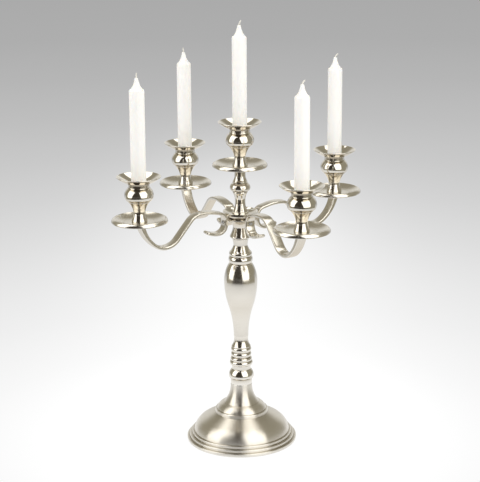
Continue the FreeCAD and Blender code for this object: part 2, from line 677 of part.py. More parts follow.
def walk(start, heading, moves):
    """Follow straight runs and arcs; heading is in degrees from straight down, inwards.

    A positive turn raises the heading. Returns each run's start, end and centre (None when
    the run is straight).
    """
    runs = []
    point = start
    for length, radius, turn in moves:
        if radius is None:
            angle = math.radians(heading)
            end = point + Vector(-math.sin(angle), -math.cos(angle), 0) * length
            runs.append((point, end, None))
        else:
            side = 1.0 if turn > 0 else -1.0
            angle = math.radians(heading)
            centre = point + Vector(-math.cos(angle), math.sin(angle), 0) * (radius * side)
            heading += turn
            angle = math.radians(heading)
            end = centre + Vector(math.cos(angle), -math.sin(angle), 0) * (radius * side)
            runs.append((point, end, centre))
        point = end
    return runs


def arm_moves(rise_length, crest_length):
    """List the strap's runs from the pan to the scroll's tip as (length, radius, turn)."""
    lengths = {0: value("Size.leg_lead"), 3: rise_length, 6: crest_length,
               BACK_RUN: value("Size.back_length")}
    moves = []
    for index in range(len(lengths) + len(ARM_CURVES)):
        if index in lengths:
            moves.append((lengths[index], None, 0.0))
        else:
            name, turn, side = ARM_CURVES[index]
            moves.append((None, value(f"Size.{name}_bend"), side * value(turn)))
    return moves


def arm_runs():
    """Solve the two free straight runs so that the scroll's back meets its boss."""
    start = Vector(value(STRAP_START_REACH), value(STRAP_START_RISE), 0)
    lean = value("Size.leg_lean")
    back = Vector(value("Size.strap_back + Size.strap_thick / 2"),
                  value(f"{BACK_HEIGHT} + Size.back_length / 2"), 0)
    missing = back - walk(start, lean, arm_moves(0.0, 0.0))[BACK_RUN][0]
    heading = lean + value("Size.leg_turn + Size.sag_turn")
    rise = math.radians(heading)
    crest = math.radians(heading - value("Size.rise_turn + Size.crest_turn"))
    spread = math.sin(rise) * math.cos(crest) - math.cos(rise) * math.sin(crest)
    rise_length = (-missing.x * math.cos(crest) + missing.y * math.sin(crest)) / spread
    crest_length = (missing.x * math.cos(rise) - missing.y * math.sin(rise)) / spread
    return walk(start, lean, arm_moves(rise_length, crest_length))


def draw_arm_path(sketch):
    """Draw the strap's middle line, bound by its radii, turns and two end conditions."""
    runs = arm_runs()
    entries = []
    for start, end, centre in runs:
        if centre is None:
            entries.append((sketch.addGeometry(Part.LineSegment(start, end)), 1))
            continue
        first = math.atan2(start.y - centre.y, start.x - centre.x)
        last = math.atan2(end.y - centre.y, end.x - centre.x)
        clockwise = (start - centre).cross(end - centre).z < 0
        low, high = (last, first) if clockwise else (first, last)
        if high < low:
            high += 2.0 * math.pi
        circle = Part.Circle(centre, Vector(0, 0, 1), (start - centre).Length)
        entries.append((sketch.addGeometry(Part.ArcOfCircle(circle, low, high)), 2 if clockwise else 1))
    for (before, before_entry), (after, entry) in zip(entries, entries[1:]):
        sketch.addConstraint(Sketcher.Constraint("Tangent", before, 3 - before_entry, after, entry))
    for index, (name, turn, _) in ARM_CURVES.items():
        curve = entries[index][0]
        bind(sketch, "Radius", curve, f"Size.{name}_bend")
        bind(sketch, "Angle", curve, turn)
    pin_point(sketch, entries[0][0], 1, STRAP_START_REACH, STRAP_START_RISE)
    bind(sketch, "Distance", entries[0][0], "Size.leg_lead")
    pin_point(sketch, entries[BACK_RUN][0], 1, "Size.strap_back + Size.strap_thick / 2",
              f"{BACK_HEIGHT} + Size.back_length / 2")
    bind(sketch, "Distance", entries[BACK_RUN][0], "Size.back_length")
    sketch.addConstraint(Sketcher.Constraint("Vertical", entries[BACK_RUN][0]))


def strap_section(sketch):
    """Draw the strap's rounded section: its thickness across, its width up."""
    thick = "(Size.strap_thick / 2)"
    wide = "(Size.strap_width / 2)"
    flat_thick = "(Size.strap_thick / 2 - Size.strap_corner)"
    flat_wide = "(Size.strap_width / 2 - Size.strap_corner)"
    closed_outline(sketch, [
        ("-" + flat_thick, "-" + wide, "90"),
        (flat_thick, "-" + wide),
        (thick, "-" + flat_wide, "90"),
        (thick, flat_wide),
        (flat_thick, wide, "90"),
        ("-" + flat_thick, wide),
        ("-" + thick, flat_wide, "90"),
        ("-" + thick, "-" + flat_wide),
    ])


def arm(number):
    """Strap arm: scroll, crest, low bend, leg and the thick seat for a drip pan."""
    name = f"arm_{number}"
    body = doc.addObject("PartDesign::Body", name)
    path = plane_sketch(body, "XZ_Plane", name + "_path")
    draw_arm_path(path)
    section = plane_sketch(body, "XY_Plane", name + "_section", x=STRAP_START_REACH, z=STRAP_START_RISE)
    section.AttachmentOffset = Placement(Vector(0, 0, 0), Rotation(Vector(0, 1, 0), 1.0))
    section.setExpression("AttachmentOffset.Rotation.Angle", "Size.leg_lean * 1 deg")
    strap_section(section)
    strap = body.newObject("PartDesign::AdditivePipe", name + "_strap")
    strap.Profile = section
    strap.Spine = (path, [f"Edge{index}" for index in range(1, path.GeometryCount + 1)])
    arm_seat(body, name)
    arm_holes(body, name)
    return keep(body, name, HUB_SEAT, turn=arm_angle(number))


def arm_seat(body, name):
    """Thicken the leg's end into a seat deep enough for the stud."""
    top = "Size.arm_rise"
    inner = "Size.arm_reach - Size.seat_thick / 2"
    outer = "Size.arm_reach + Size.seat_thick / 2"
    foot = "Size.arm_rise - Size.seat_depth"
    foot_reach = "Size.arm_reach - Size.seat_depth * tan(Size.leg_lean * 1 deg)"
    outline = plane_sketch(body, "XZ_Plane", name + "_seat_outline")
    closed_outline(outline, [
        (inner, top),
        (foot_reach + " - Size.strap_thick / 2", foot),
        (foot_reach + " + Size.strap_thick / 2", foot),
        (outer + " - Size.seat_taper", "Size.arm_rise - Size.arm_grip - Size.stud_relief"),
        (outer, top),
    ])
    seat = body.newObject("PartDesign::Pad", name + "_seat")
    seat.Profile = outline
    seat.Midplane = True
    seat.setExpression("Length", "Size.strap_width - 2 * Size.seat_inset")


def arm_holes(body, name):
    """Thread for the stud in the seat, and the screw hole through the scroll's back."""
    stud_outline = plane_sketch(body, "XY_Plane", name + "_thread_outline", z="Size.arm_rise")
    circle_at(stud_outline, "Size.arm_reach", "0", STUD_BORE)
    thread = body.newObject("PartDesign::Pocket", name + "_thread")
    thread.Profile = stud_outline
    thread.setExpression("Length", "Size.arm_grip + Size.stud_relief")
    back = "Size.strap_back + Size.strap_thick"
    screw_outline = plane_sketch(body, "YZ_Plane", name + "_hole_outline", z=back)
    circle_at(screw_outline, "0", BACK_HEIGHT, SCREW_BORE)
    hole = body.newObject("PartDesign::Pocket", name + "_hole")
    hole.Profile = screw_outline
    hole.setExpression("Length", "Size.strap_thick")


def group(name, members, height):
    """Keep several equal solids together as one piece."""
    compound = doc.addObject("Part::Compound", name)
    compound.Links = members
    return keep(compound, name, height)


def arm_screws():
    """One pan-head screw through each scroll's back into its boss."""
    screws = []
    head = "Size.screw_length + Size.screw_head_thick"
    inner_end = value("Size.strap_back + Size.strap_thick - Size.screw_length")
    for number in range(1, ARM_COUNT + 1):
        screw = turned_body(f"arm_screw_{number}", [
            ("0", "0"),
            ("Size.screw_radius", "0"),
            ("Size.screw_radius", "Size.screw_length"),
            ("Size.screw_head_radius", "Size.screw_length"),
            ("Size.screw_head_radius - Size.screw_head_thick / 2", head, "Size.screw_head_sweep"),
            ("0", head),
        ])
        turn = Rotation(Vector(0, 0, 1), arm_angle(number))
        outwards = turn.multVec(Vector(1, 0, 0))
        place = outwards * inner_end + Vector(0, 0, value(BACK_HEIGHT))
        screw.Placement = Placement(place, turn * Rotation(Vector(0, 1, 0), 90))
        screws.append(screw)
    return group("arm_screws", screws, HUB_SEAT)


def cup_studs():
    """One stud at each arm's end, through the drip pan into the cup."""
    studs = []
    for number in range(1, ARM_COUNT + 1):
        stud = threaded_rod(f"cup_stud_{number}", "Size.stud_radius",
                            f"Size.arm_grip + {PAN_FLOOR} + Size.stud_grip")
        stud.Placement = Placement(side_place(number), Rotation())
        studs.append(stud)
    return group("cup_studs", studs, f"{SIDE_SEAT} - Size.arm_grip")


def side_place(number):
    """Return the point on the reach circle of one arm."""
    angle = math.radians(arm_angle(number))
    return Vector(math.cos(angle), math.sin(angle), 0) * value("Size.arm_reach")


def drip_pan(number):
    """Shallow drip pan with a raised lip, a turned-down flange and a boss underneath."""
    lip = f"{PAN_FLOOR} + Size.pan_lip_rise"
    edge = f"{PAN_FLOOR} - Size.pan_edge_drop"
    pan = turned_on_bore(f"drip_pan_{number}", [
        ("Size.pan_boss_radius", "0"),
        ("Size.pan_boss_radius + Size.pan_wall", "Size.pan_boss_drop"),
        ("Size.pan_floor_radius", "Size.pan_boss_drop"),
        ("Size.pan_lip_radius - Size.pan_wall / 2", f"{lip} - Size.pan_wall", "Size.pan_sweep"),
        ("Size.pan_radius - Size.pan_wall", edge, "Size.pan_flange_sweep"),
        ("Size.pan_radius", edge),
        ("Size.pan_lip_radius", lip, "Size.pan_flange_sweep"),
        ("Size.pan_floor_radius", PAN_FLOOR, "-Size.pan_sweep"),
    ], STUD_BORE)
    return stand_on_arm(pan, f"drip_pan_{number}", number, "0")


def stand_on_arm(piece, name, number, rise):
    """Keep a piece over its arm's seat, or over the centre stem after the last arm."""
    if number > ARM_COUNT:
        return keep(piece, name, f"{CENTRE_SEAT} + {rise}")
    return keep(piece, name, f"{SIDE_SEAT} + {rise}", turn=arm_angle(number), reach="Size.arm_reach")


def candle_cup(number):
    """Turned cup: foot, waist, ridge, ball, throat, funnel rim and the candle's socket."""
    rim = "Size.cup_height"
    socket = "Size.candle_radius + Size.socket_fit"
    mouth = "Size.cup_throat_height + Size.cup_wall / 2"
    floor = "Size.cup_height - Size.socket_depth"
    cup = turned_body(f"candle_cup_{number}", [
        (STUD_BORE, "0"),
        ("Size.cup_foot_radius", "0"),
        ("Size.cup_foot_radius", "Size.cup_foot_rise"),
        ("Size.cup_waist_radius", "Size.cup_waist_height", "-Size.cup_foot_sweep"),
        ("Size.cup_ridge_radius", "Size.cup_ridge_height", "-Size.cup_foot_sweep"),
        ("Size.cup_ball_radius", "Size.cup_ball_low"),
        ("Size.cup_ball_top_radius", "Size.cup_ball_high", "Size.cup_ball_sweep"),
        ("Size.cup_throat_radius", "Size.cup_throat_height"),
        ("Size.cup_rim_radius", rim, "Size.funnel_sweep"),
        ("Size.cup_rim_radius - Size.cup_wall", rim),
        ("Size.cup_mouth_radius", mouth, "-Size.funnel_sweep"),
        (socket, "Size.cup_throat_height - Size.cup_wall"),
        (socket, floor),
        ("0", floor),
        ("0", STUD_HOLE),
        (STUD_BORE, STUD_HOLE),
    ])
    return stand_on_arm(cup, f"candle_cup_{number}", number, PAN_FLOOR)


def candle(number):
    """Household candle with a hollow-sided cone end, bored for its wick."""
    bore = "Size.wick_radius + Size.wick_fit"
    top = "Size.candle_shoulder + Size.cone_rise"
    wax = turned_on_bore(f"candle_{number}", [
        ("Size.candle_radius", "0"),
        ("Size.candle_radius", "Size.candle_shoulder"),
        ("Size.candle_radius - Size.shoulder_round", "Size.candle_shoulder + Size.shoulder_round",
         "Size.shoulder_sweep_round"),
        ("Size.cone_top_radius", top, "-Size.cone_sweep"),
    ], bore)
    return stand_on_arm(wax, f"candle_{number}", number, CANDLE_SEAT)


def wick(number):
    """Wick through the whole candle, bent over its top."""
    name = f"wick_{number}"
    straight = "Size.candle_shoulder + Size.cone_rise"
    turn = f"Size.wick_turn_{number}"
    tail = f"Size.wick_free - Size.wick_bend * {turn} * pi / 180"
    body = doc.addObject("PartDesign::Body", name)
    path = plane_sketch(body, "XZ_Plane", name + "_path")
    angle = math.radians(value(turn))
    radius = value("Size.wick_bend")
    top = Vector(0, value(straight), 0)
    bend_end = top + Vector(1 - math.cos(angle), math.sin(angle), 0) * radius
    tail_end = bend_end + Vector(math.sin(angle), math.cos(angle), 0) * value(tail)
    circle = Part.Circle(top + Vector(radius, 0, 0), Vector(0, 0, 1), radius)
    path.addGeometry(Part.LineSegment(Vector(0, 0, 0), top))
    path.addGeometry(Part.ArcOfCircle(circle, math.pi - angle, math.pi))
    path.addGeometry(Part.LineSegment(bend_end, tail_end))
    pin_point(path, 0, 1, "0", "0")
    pin_point(path, 0, 2, "0", straight)
    path.addConstraint(Sketcher.Constraint("Tangent", 0, 2, 1, 2))
    path.addConstraint(Sketcher.Constraint("Tangent", 1, 1, 2, 1))
    bind(path, "Radius", 1, "Size.wick_bend")
    bind(path, "Angle", 1, turn)
    bind(path, "Distance", 2, tail)
    section = plane_sketch(body, "XY_Plane", name + "_section")
    circle_at(section, "0", "0", "Size.wick_radius")
    strand = body.newObject("PartDesign::AdditivePipe", name + "_strand")
    strand.Profile = section
    strand.Spine = (path, ["Edge1", "Edge2", "Edge3"])
    stand_on_arm(body, name, number, CANDLE_SEAT)
    heading = Rotation(Vector(0, 0, 1), value(f"Size.wick_heading_{number}"))
    body.Placement = Placement(body.Placement.Base, heading)
    return body


def check_and_export():
    """Recompute, refuse anything that failed, and write one STEP file for each piece."""
    doc.recompute()
    for item in doc.Objects:
        if "Invalid" in item.State or "Error" in item.State:
            raise RuntimeError(f"{item.Name} failed: {item.State}")
    os.makedirs("parts", exist_ok=True)
    for piece in parts:
        if piece.Shape.isNull() or not piece.Shape.isValid():
            raise RuntimeError(f"{piece.Label} has no valid shape")
        piece.Shape.exportStep(f"parts/{piece.Label}.step")
        box = piece.Shape.BoundBox
        print(f"{piece.Label:16s} {len(piece.Shape.Solids)} solid(s) {piece.Shape.Volume:10.1f} mm3"
              f"  z {box.ZMin:7.2f} to {box.ZMax:7.2f}")


fill_sheet()
base_bell()
disc("base_felt", "Size.felt_thick", "0")
disc("base_plate", "Size.plate_thick", "Size.felt_thick")
ring_piece("base_washer", ROD_BORE, "Size.washer_radius", "Size.washer_thick",
           KNOP_SEAT + " - Size.bell_roof - Size.washer_thick")
base_nut()
tie_rod()
base_knop()
ring_stack()
baluster()
neck_ring()
neck_spool()
ring_piece("thrust_washer", "Size.spindle_radius + Size.washer_fit", "Size.thrust_radius",
           "Size.thrust_thick", THRUST_SEAT)
hub_collar()
hub_flange()
hub_dish()
centre_stem()
stem_rod()
for arm_number in range(1, ARM_COUNT + 1):
    arm(arm_number)
arm_screws()
cup_studs()
for place_number in range(1, ARM_COUNT + 2):
    drip_pan(place_number)
    candle_cup(place_number)
    candle(place_number)
    wick(place_number)
check_and_export()
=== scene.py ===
"""Looks of a five-light tabletop candelabra in warm nickel plate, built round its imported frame."""

import logging
import math
from collections.abc import Callable, Mapping, Sequence
from dataclasses import dataclass, field
from enum import Enum

import bpy
import numpy as np
from mathutils import Matrix, Vector


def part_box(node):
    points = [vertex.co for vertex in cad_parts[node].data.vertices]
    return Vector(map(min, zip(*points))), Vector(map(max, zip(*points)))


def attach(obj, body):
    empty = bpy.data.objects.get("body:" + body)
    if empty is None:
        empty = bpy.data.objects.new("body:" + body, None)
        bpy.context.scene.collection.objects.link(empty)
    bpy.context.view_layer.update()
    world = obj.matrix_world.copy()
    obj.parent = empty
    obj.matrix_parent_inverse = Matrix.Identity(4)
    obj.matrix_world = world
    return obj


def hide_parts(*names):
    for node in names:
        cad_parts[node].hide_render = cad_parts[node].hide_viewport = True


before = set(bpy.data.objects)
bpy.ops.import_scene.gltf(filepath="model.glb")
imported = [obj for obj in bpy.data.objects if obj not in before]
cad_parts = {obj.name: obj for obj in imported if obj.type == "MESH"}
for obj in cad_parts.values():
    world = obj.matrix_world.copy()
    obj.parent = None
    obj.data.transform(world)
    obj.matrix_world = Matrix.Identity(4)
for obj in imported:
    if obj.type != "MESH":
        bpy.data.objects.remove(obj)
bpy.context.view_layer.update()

MM = 0.001
ARM_COUNT = 4
WICKS = ((62.0, -25.0, 1.15), (12.0, 150.0, 1.1), (10.0, 20.0, 1.1), (58.0, -32.0, 1.35),
         (34.0, -31.0, 1.15))  # bend and heading in degrees, radius in millimetres
RELIEF = "relief"
LOG = logging.getLogger("candelabra")

Colour = tuple[float, float, float]
Point = tuple[float, float]


# ---------------------------------------------------------------- shader wiring


class Wire:
    """One value in a material; Python's operators on it add Math nodes."""

    def __init__(self, kit: "NodeKit", socket: bpy.types.NodeSocket) -> None:
        self.kit = kit
        self.socket = socket

    def _maths(self, operation: str, first: "Wire | float", second: "Wire | float") -> "Wire":
        """Add one Math node.

        Args:
            operation: Blender's name of the operation.
            first: first value or wire.
            second: second value or wire.

        Returns:
            The wire of the node's result.
        """
        return self.kit.node("ShaderNodeMath", {"operation": operation}, {0: first, 1: second})

    def __add__(self, other: "Wire | float") -> "Wire":
        """Return self + other."""
        return self._maths("ADD", self, other)

    __radd__ = __add__

    def __sub__(self, other: "Wire | float") -> "Wire":
        """Return self - other."""
        return self._maths("SUBTRACT", self, other)

    def __rsub__(self, other: "Wire | float") -> "Wire":
        """Return other - self."""
        return self._maths("SUBTRACT", other, self)

    def __mul__(self, other: "Wire | float") -> "Wire":
        """Return self * other."""
        return self._maths("MULTIPLY", self, other)

    __rmul__ = __mul__

    def __truediv__(self, other: "Wire | float") -> "Wire":
        """Return self / other."""
        return self._maths("DIVIDE", self, other)

    def __pow__(self, other: "Wire | float") -> "Wire":
        """Return self to the power other."""
        return self._maths("POWER", self, other)

    def limited(self, low: float = 0.0, high: float = 1.0) -> "Wire":
        """Return self held between low and high."""
        return self._maths("MAXIMUM", self._maths("MINIMUM", self, high), low)


class NodeKit:
    """Adds nodes to one material or world."""

    def __init__(self, owner: "bpy.types.Material | bpy.types.World") -> None:
        """Empty the owner's node tree, ready for new nodes."""
        owner.use_nodes = True
        self.tree = owner.node_tree
        self.tree.nodes.clear()

    def node(
        self,
        kind: str,
        settings: Mapping[str, object] | None = None,
        inputs: Mapping[int | str, object] | None = None,
        output: int | str = 0,
    ) -> Wire:
        """Add a node of any type.

        Args:
            kind: Blender's node type.
            settings: properties set before the inputs; "stops" holds a ramp's stops.
            inputs: numbers, colours or wires by socket name or place.
            output: socket that the returned wire comes from.

        Returns:
            The wire of the chosen output.
        """
        made = self.tree.nodes.new(kind)
        for name, setting in (settings or {}).items():
            if name == "stops":
                self._set_stops(made.color_ramp, setting)
            else:
                setattr(made, name, setting)
        for key, given in (inputs or {}).items():
            if isinstance(given, Wire):
                self.tree.links.new(given.socket, made.inputs[key])
            else:
                made.inputs[key].default_value = given
        return Wire(self, made.outputs[output]) if made.outputs else Wire(self, made.inputs[0])

    @staticmethod
    def _set_stops(ramp: bpy.types.ColorRamp, stops: Sequence[tuple[float, Colour]]) -> None:
        """Give a ramp its stops.

        Args:
            ramp: the node's colour ramp.
            stops: place and colour of each stop.
        """
        while len(ramp.elements) < len(stops):
            ramp.elements.new(1.0)
        for element, (place, colour) in zip(ramp.elements, stops):
            element.position = place
            element.color = (*colour, 1.0)

    def other(self, wire: Wire, output: int | str) -> Wire:
        """Return another output of the node that a wire comes from."""
        return Wire(self, wire.socket.node.outputs[output])

    def noise(self, place: Wire, scale: float, detail: float = 3.0) -> Wire:
        """Return soft noise over a place, from 0 to 1."""
        return self.node("ShaderNodeTexNoise", {"noise_dimensions": "3D"},
                         {"Vector": place, "Scale": scale, "Detail": detail})

    def blend(self, factor: "Wire | float", first: object, second: object) -> Wire:
        """Return a colour between two colours."""
        return self.node("ShaderNodeMix", {"data_type": "RGBA"},
                         {0: factor, 6: padded_colour(first), 7: padded_colour(second)}, 2)

    def height_of(self, vector: Wire) -> Wire:
        """Return a vector's height part."""
        return self.node("ShaderNodeSeparateXYZ", inputs={"Vector": vector}, output="Z")

    def bump(self, height: Wire, strength: float, depth_mm: float) -> Wire:
        """Return the normal of a surface raised by a height, in millimetres."""
        return self.node("ShaderNodeBump", inputs={"Strength": strength, "Distance": depth_mm * MM,
                                                   "Height": height})

    def surface(self, inputs: Mapping[str, object]) -> None:
        """Finish the tree with a Principled shader of those inputs."""
        shader = self.node("ShaderNodeBsdfPrincipled", inputs=inputs)
        self.node("ShaderNodeOutputMaterial", inputs={"Surface": shader})


def padded_colour(given: object) -> object:
    """Return a colour with its alpha, or a wire as it is."""
    return given if isinstance(given, Wire) else (*given, 1.0)


def begun(name: str) -> tuple[bpy.types.Material, NodeKit, Wire]:
    """Start a material.

    Args:
        name: its name.

    Returns:
        The material, its node kit and its object coordinates.
    """
    material = bpy.data.materials.new(name)
    kit = NodeKit(material)
    return material, kit, kit.node("ShaderNodeTexCoord", output="Object")


# ---------------------------------------------------------------- finishes


class Lay(Enum):
    """Which way the fine tool marks of a finish run."""

    TURNED = "rings round the piece's axis"
    DRAWN = "lines along the strap"


@dataclass(frozen=True)
class PlatedFinish:
    """Warm nickel plate over turned or drawn metal."""

    name: str
    colour: Colour = (0.79, 0.755, 0.685)
    # The next two colours: a painted shade for the hollows, and a painted highlight for the edges that
    # also lightens the tool marks.
    hollow_shade_colour: Colour = (0.30, 0.26, 0.19)
    edge_highlight_and_mark_colour: Colour = (0.92, 0.90, 0.86)
    roughness: float = 0.12
    spread: float = 0.05
    anisotropy: float = 0.0
    lay: Lay = Lay.TURNED
    lines_per_mm: float = 2.2
    line_depth: float = 0.004
    # Strength of the painted shade in the hollows.
    hollow_shade: float = 0.55
    cloud_scale: float = 55.0
    rubbing_scale: float = 900.0
    drawn_length: float = 14.0
    turned_length: float = 1.6
    # Painted shade: strength and colour of the darkening on surfaces that face downwards.
    underside_shade: float = 0.6
    underside_shade_colour: Colour = (0.42, 0.34, 0.215)

    def _lines(self, kit: NodeKit, place: Wire) -> Wire:
        """Lay the tool marks.

        Args:
            kit: the material's node kit.
            place: object coordinates.

        Returns:
            Marks from 0 to 1.
        """
        across = kit.node("ShaderNodeSeparateXYZ", inputs={"Vector": place})
        y, z = kit.other(across, "Y"), kit.other(across, "Z")
        pitch = self.lines_per_mm / MM
        if self.lay is Lay.DRAWN:
            marks = kit.node("ShaderNodeCombineXYZ", inputs={
                0: across * self.drawn_length, 1: y * pitch, 2: z * self.drawn_length})
            return kit.noise(marks, 1.0, 2.0)
        radius = (across * across + y * y) ** 0.5 + 1e-5
        marks = kit.node("ShaderNodeCombineXYZ", inputs={
            0: radius * pitch, 1: z * pitch, 2: across / radius * self.turned_length})
        return kit.node("ShaderNodeTexNoise", {"noise_dimensions": "4D"}, {
            "Vector": marks, "W": y / radius * self.turned_length, "Scale": 1.0, "Detail": 2.0})

    def material(self) -> bpy.types.Material:
        """Build the finish.

        Returns:
            The material.
        """
        made, kit, place = begun(self.name)
        lines = self._lines(kit, place)
        clouds = kit.noise(place, self.cloud_scale, 4.0)
        rubbing = kit.noise(place, self.rubbing_scale, 2.0)
        relief = kit.node("ShaderNodeAttribute", {"attribute_name": RELIEF}, output="Fac")
        hollow = (1.0 - relief * 2.0).limited()
        edge = (relief * 2.0 - 1.0).limited()
        # Painted shade: the hollows are darkened towards a dark brown; soft clouds add random tone.
        hollow_shade_and_clouding = (hollow * self.hollow_shade + (clouds - 0.5).limited() * 0.22).limited()
        colour = kit.blend(hollow_shade_and_clouding, self.colour, self.hollow_shade_colour)
        # Painted highlight: edges and rounded corners are lightened; the same pale colour lightens the
        # tool marks below.
        colour = kit.blend(edge * 0.6, colour, self.edge_highlight_and_mark_colour)
        # Painted shade: surfaces that face downwards are darkened towards brown.
        rise = kit.height_of(kit.node("ShaderNodeNewGeometry", output="Normal"))
        colour = kit.blend((rise * -1.6 - 0.25).limited() * self.underside_shade, colour, self.underside_shade_colour)
        colour = kit.blend((lines - 0.45).limited() * 0.35, colour, self.edge_highlight_and_mark_colour)
        roughness = (self.roughness + (lines - 0.5) * self.spread + (clouds - 0.5) * self.spread
                     + hollow * 0.10 - edge * 0.02)
        kit.surface({
            "Base Color": colour,
            "Metallic": 1.0,
            "Roughness": roughness.limited(0.03, 0.9),
            "Anisotropic": self.anisotropy,
            "Anisotropic Rotation": 0.25,
            "Normal": kit.bump(lines + rubbing * 0.25, 0.35, self.line_depth),
        })
        return made


@dataclass(frozen=True)
class HiddenMetalFinish:
    """Steel or brass of the fixings that the plated pieces hide."""

    name: str
    colour: Colour
    stain: Colour
    roughness: float = 0.34

    def material(self) -> bpy.types.Material:
        """Build the finish.

        Returns:
            The material.
        """
        made, kit, place = begun(self.name)
        grain = kit.noise(place, 1400.0, 3.0)
        stains = kit.noise(place, 160.0, 4.0)
        kit.surface({
            "Base Color": kit.blend((stains * 1.6 - 0.5).limited(), self.colour, self.stain),
            "Metallic": 1.0,
            "Roughness": (self.roughness + (grain - 0.5) * 0.2).limited(0.1, 0.9),
            "Normal": kit.bump(grain, 0.3, 0.01),
        })
        return made


@dataclass(frozen=True)
class WaxFinish:
    """White candle wax: soft, faintly mottled, drawn lengthways."""

    name: str
    colour: Colour = (0.965, 0.96, 0.95)
    shade: Colour = (0.93, 0.925, 0.905)
    roughness: float = 0.42
    # Painted light: strength of a faint glow of the wax itself, which lifts its brightness.
    glow: float = 0.10

    def material(self) -> bpy.types.Material:
        """Build the finish.

        Returns:
            The material.
        """
        made, kit, place = begun(self.name)
        stretched = kit.node("ShaderNodeVectorMath", {"operation": "MULTIPLY"},
                             {0: place, 1: (1.0, 1.0, 0.08)})
        drawn = kit.noise(stretched, 900.0, 2.0)
        mottle = kit.noise(place, 130.0, 4.0)
        bloom = kit.noise(place, 1500.0, 2.0)
        kit.surface({
            "Base Color": kit.blend((mottle * 1.5 - 0.45).limited(), self.colour, self.shade),
            "Roughness": (self.roughness + (mottle - 0.5) * 0.2).limited(0.2, 0.8),
            "Subsurface Weight": 0.35,
            "Subsurface Radius": (1.0, 0.85, 0.7),
            "Subsurface Scale": 4.0 * MM,
            "Coat Weight": 0.08,
            "Coat Roughness": 0.3,
            # Painted light: the wax glows faintly by itself.
            "Emission Color": padded_colour(self.colour),
            "Emission Strength": self.glow,
            "Normal": kit.bump(drawn * 0.7 + mottle * 1.2 + bloom * 0.2, 0.25, 0.03),
        })
        return made


@dataclass(frozen=True)
class FibreFinish:
    """Cotton wick or pressed felt."""

    name: str
    colour: Colour
    shade: Colour
    fibre_scale: float
    depth: float

    def material(self) -> bpy.types.Material:
        """Build the finish.

        Returns:
            The material.
        """
        made, kit, place = begun(self.name)
        fibres = kit.noise(place, self.fibre_scale, 5.0)
        patches = kit.noise(place, self.fibre_scale / 9.0, 3.0)
        kit.surface({
            "Base Color": kit.blend((fibres * 1.8 - 0.4).limited(), self.shade, self.colour),
            "Roughness": (0.85 + (patches - 0.5) * 0.2).limited(0.5, 1.0),
            "Sheen Weight": 0.25,
            "Normal": kit.bump(fibres + patches * 0.5, 0.6, self.depth),
        })
        return made


@dataclass
class FinishShelf:
    """Every finish of the candelabra, each made once."""

    base: bpy.types.Material = field(default_factory=PlatedFinish(
        "spun_base_plate", roughness=0.31, spread=0.04, anisotropy=0.95, line_depth=0.008,
        lines_per_mm=1.6).material)
    column: bpy.types.Material = field(default_factory=PlatedFinish(
        "satin_column_plate", roughness=0.17, spread=0.07, anisotropy=0.35, line_depth=0.006).material)
    hub: bpy.types.Material = field(default_factory=PlatedFinish(
        "polished_hub_plate", roughness=0.11).material)
    arm: bpy.types.Material = field(default_factory=PlatedFinish(
        "satin_arm_plate", roughness=0.19, spread=0.08, lay=Lay.DRAWN, lines_per_mm=1.4,
        line_depth=0.012).material)
    pan: bpy.types.Material = field(default_factory=PlatedFinish(
        "satin_pan_plate", roughness=0.21, spread=0.08, anisotropy=0.3, line_depth=0.008).material)
    cup: bpy.types.Material = field(default_factory=PlatedFinish(
        "polished_cup_plate", roughness=0.085, spread=0.03).material)
    steel: bpy.types.Material = field(default_factory=HiddenMetalFinish(
        "zinc_steel", (0.56, 0.57, 0.58), (0.40, 0.39, 0.36)).material)
    brass: bpy.types.Material = field(default_factory=HiddenMetalFinish(
        "spacer_brass", (0.72, 0.55, 0.28), (0.50, 0.36, 0.17)).material)
    felt: bpy.types.Material = field(default_factory=FibreFinish(
        "green_felt", (0.07, 0.13, 0.085), (0.03, 0.06, 0.04), 1600.0, 0.4).material)
    wax: bpy.types.Material = field(default_factory=WaxFinish("white_wax").material)
    cotton: bpy.types.Material = field(default_factory=FibreFinish(
        "waxed_cotton", (0.93, 0.92, 0.88), (0.70, 0.67, 0.60), 2600.0, 0.12).material)


# ---------------------------------------------------------------- turned pieces


class Track:
    """Distances along a line of points."""

    def __init__(self, points: np.ndarray, closed: bool = False) -> None:
        """Measure a line; a closed one ends where it starts."""
        self.points, self.closed = points, closed
        steps = np.linalg.norm(np.diff(points, axis=0), axis=1)
        self.reach = np.concatenate(([0.0], np.cumsum(steps)))
        self.total = self.reach[-1]

    def at(self, distance: "np.ndarray | float") -> np.ndarray:
        """Return the point at each distance."""
        d = np.mod(distance, self.total) if self.closed else np.clip(distance, 0.0, self.total)
        return np.stack([np.interp(d, self.reach, side) for side in self.points.T], axis=-1)


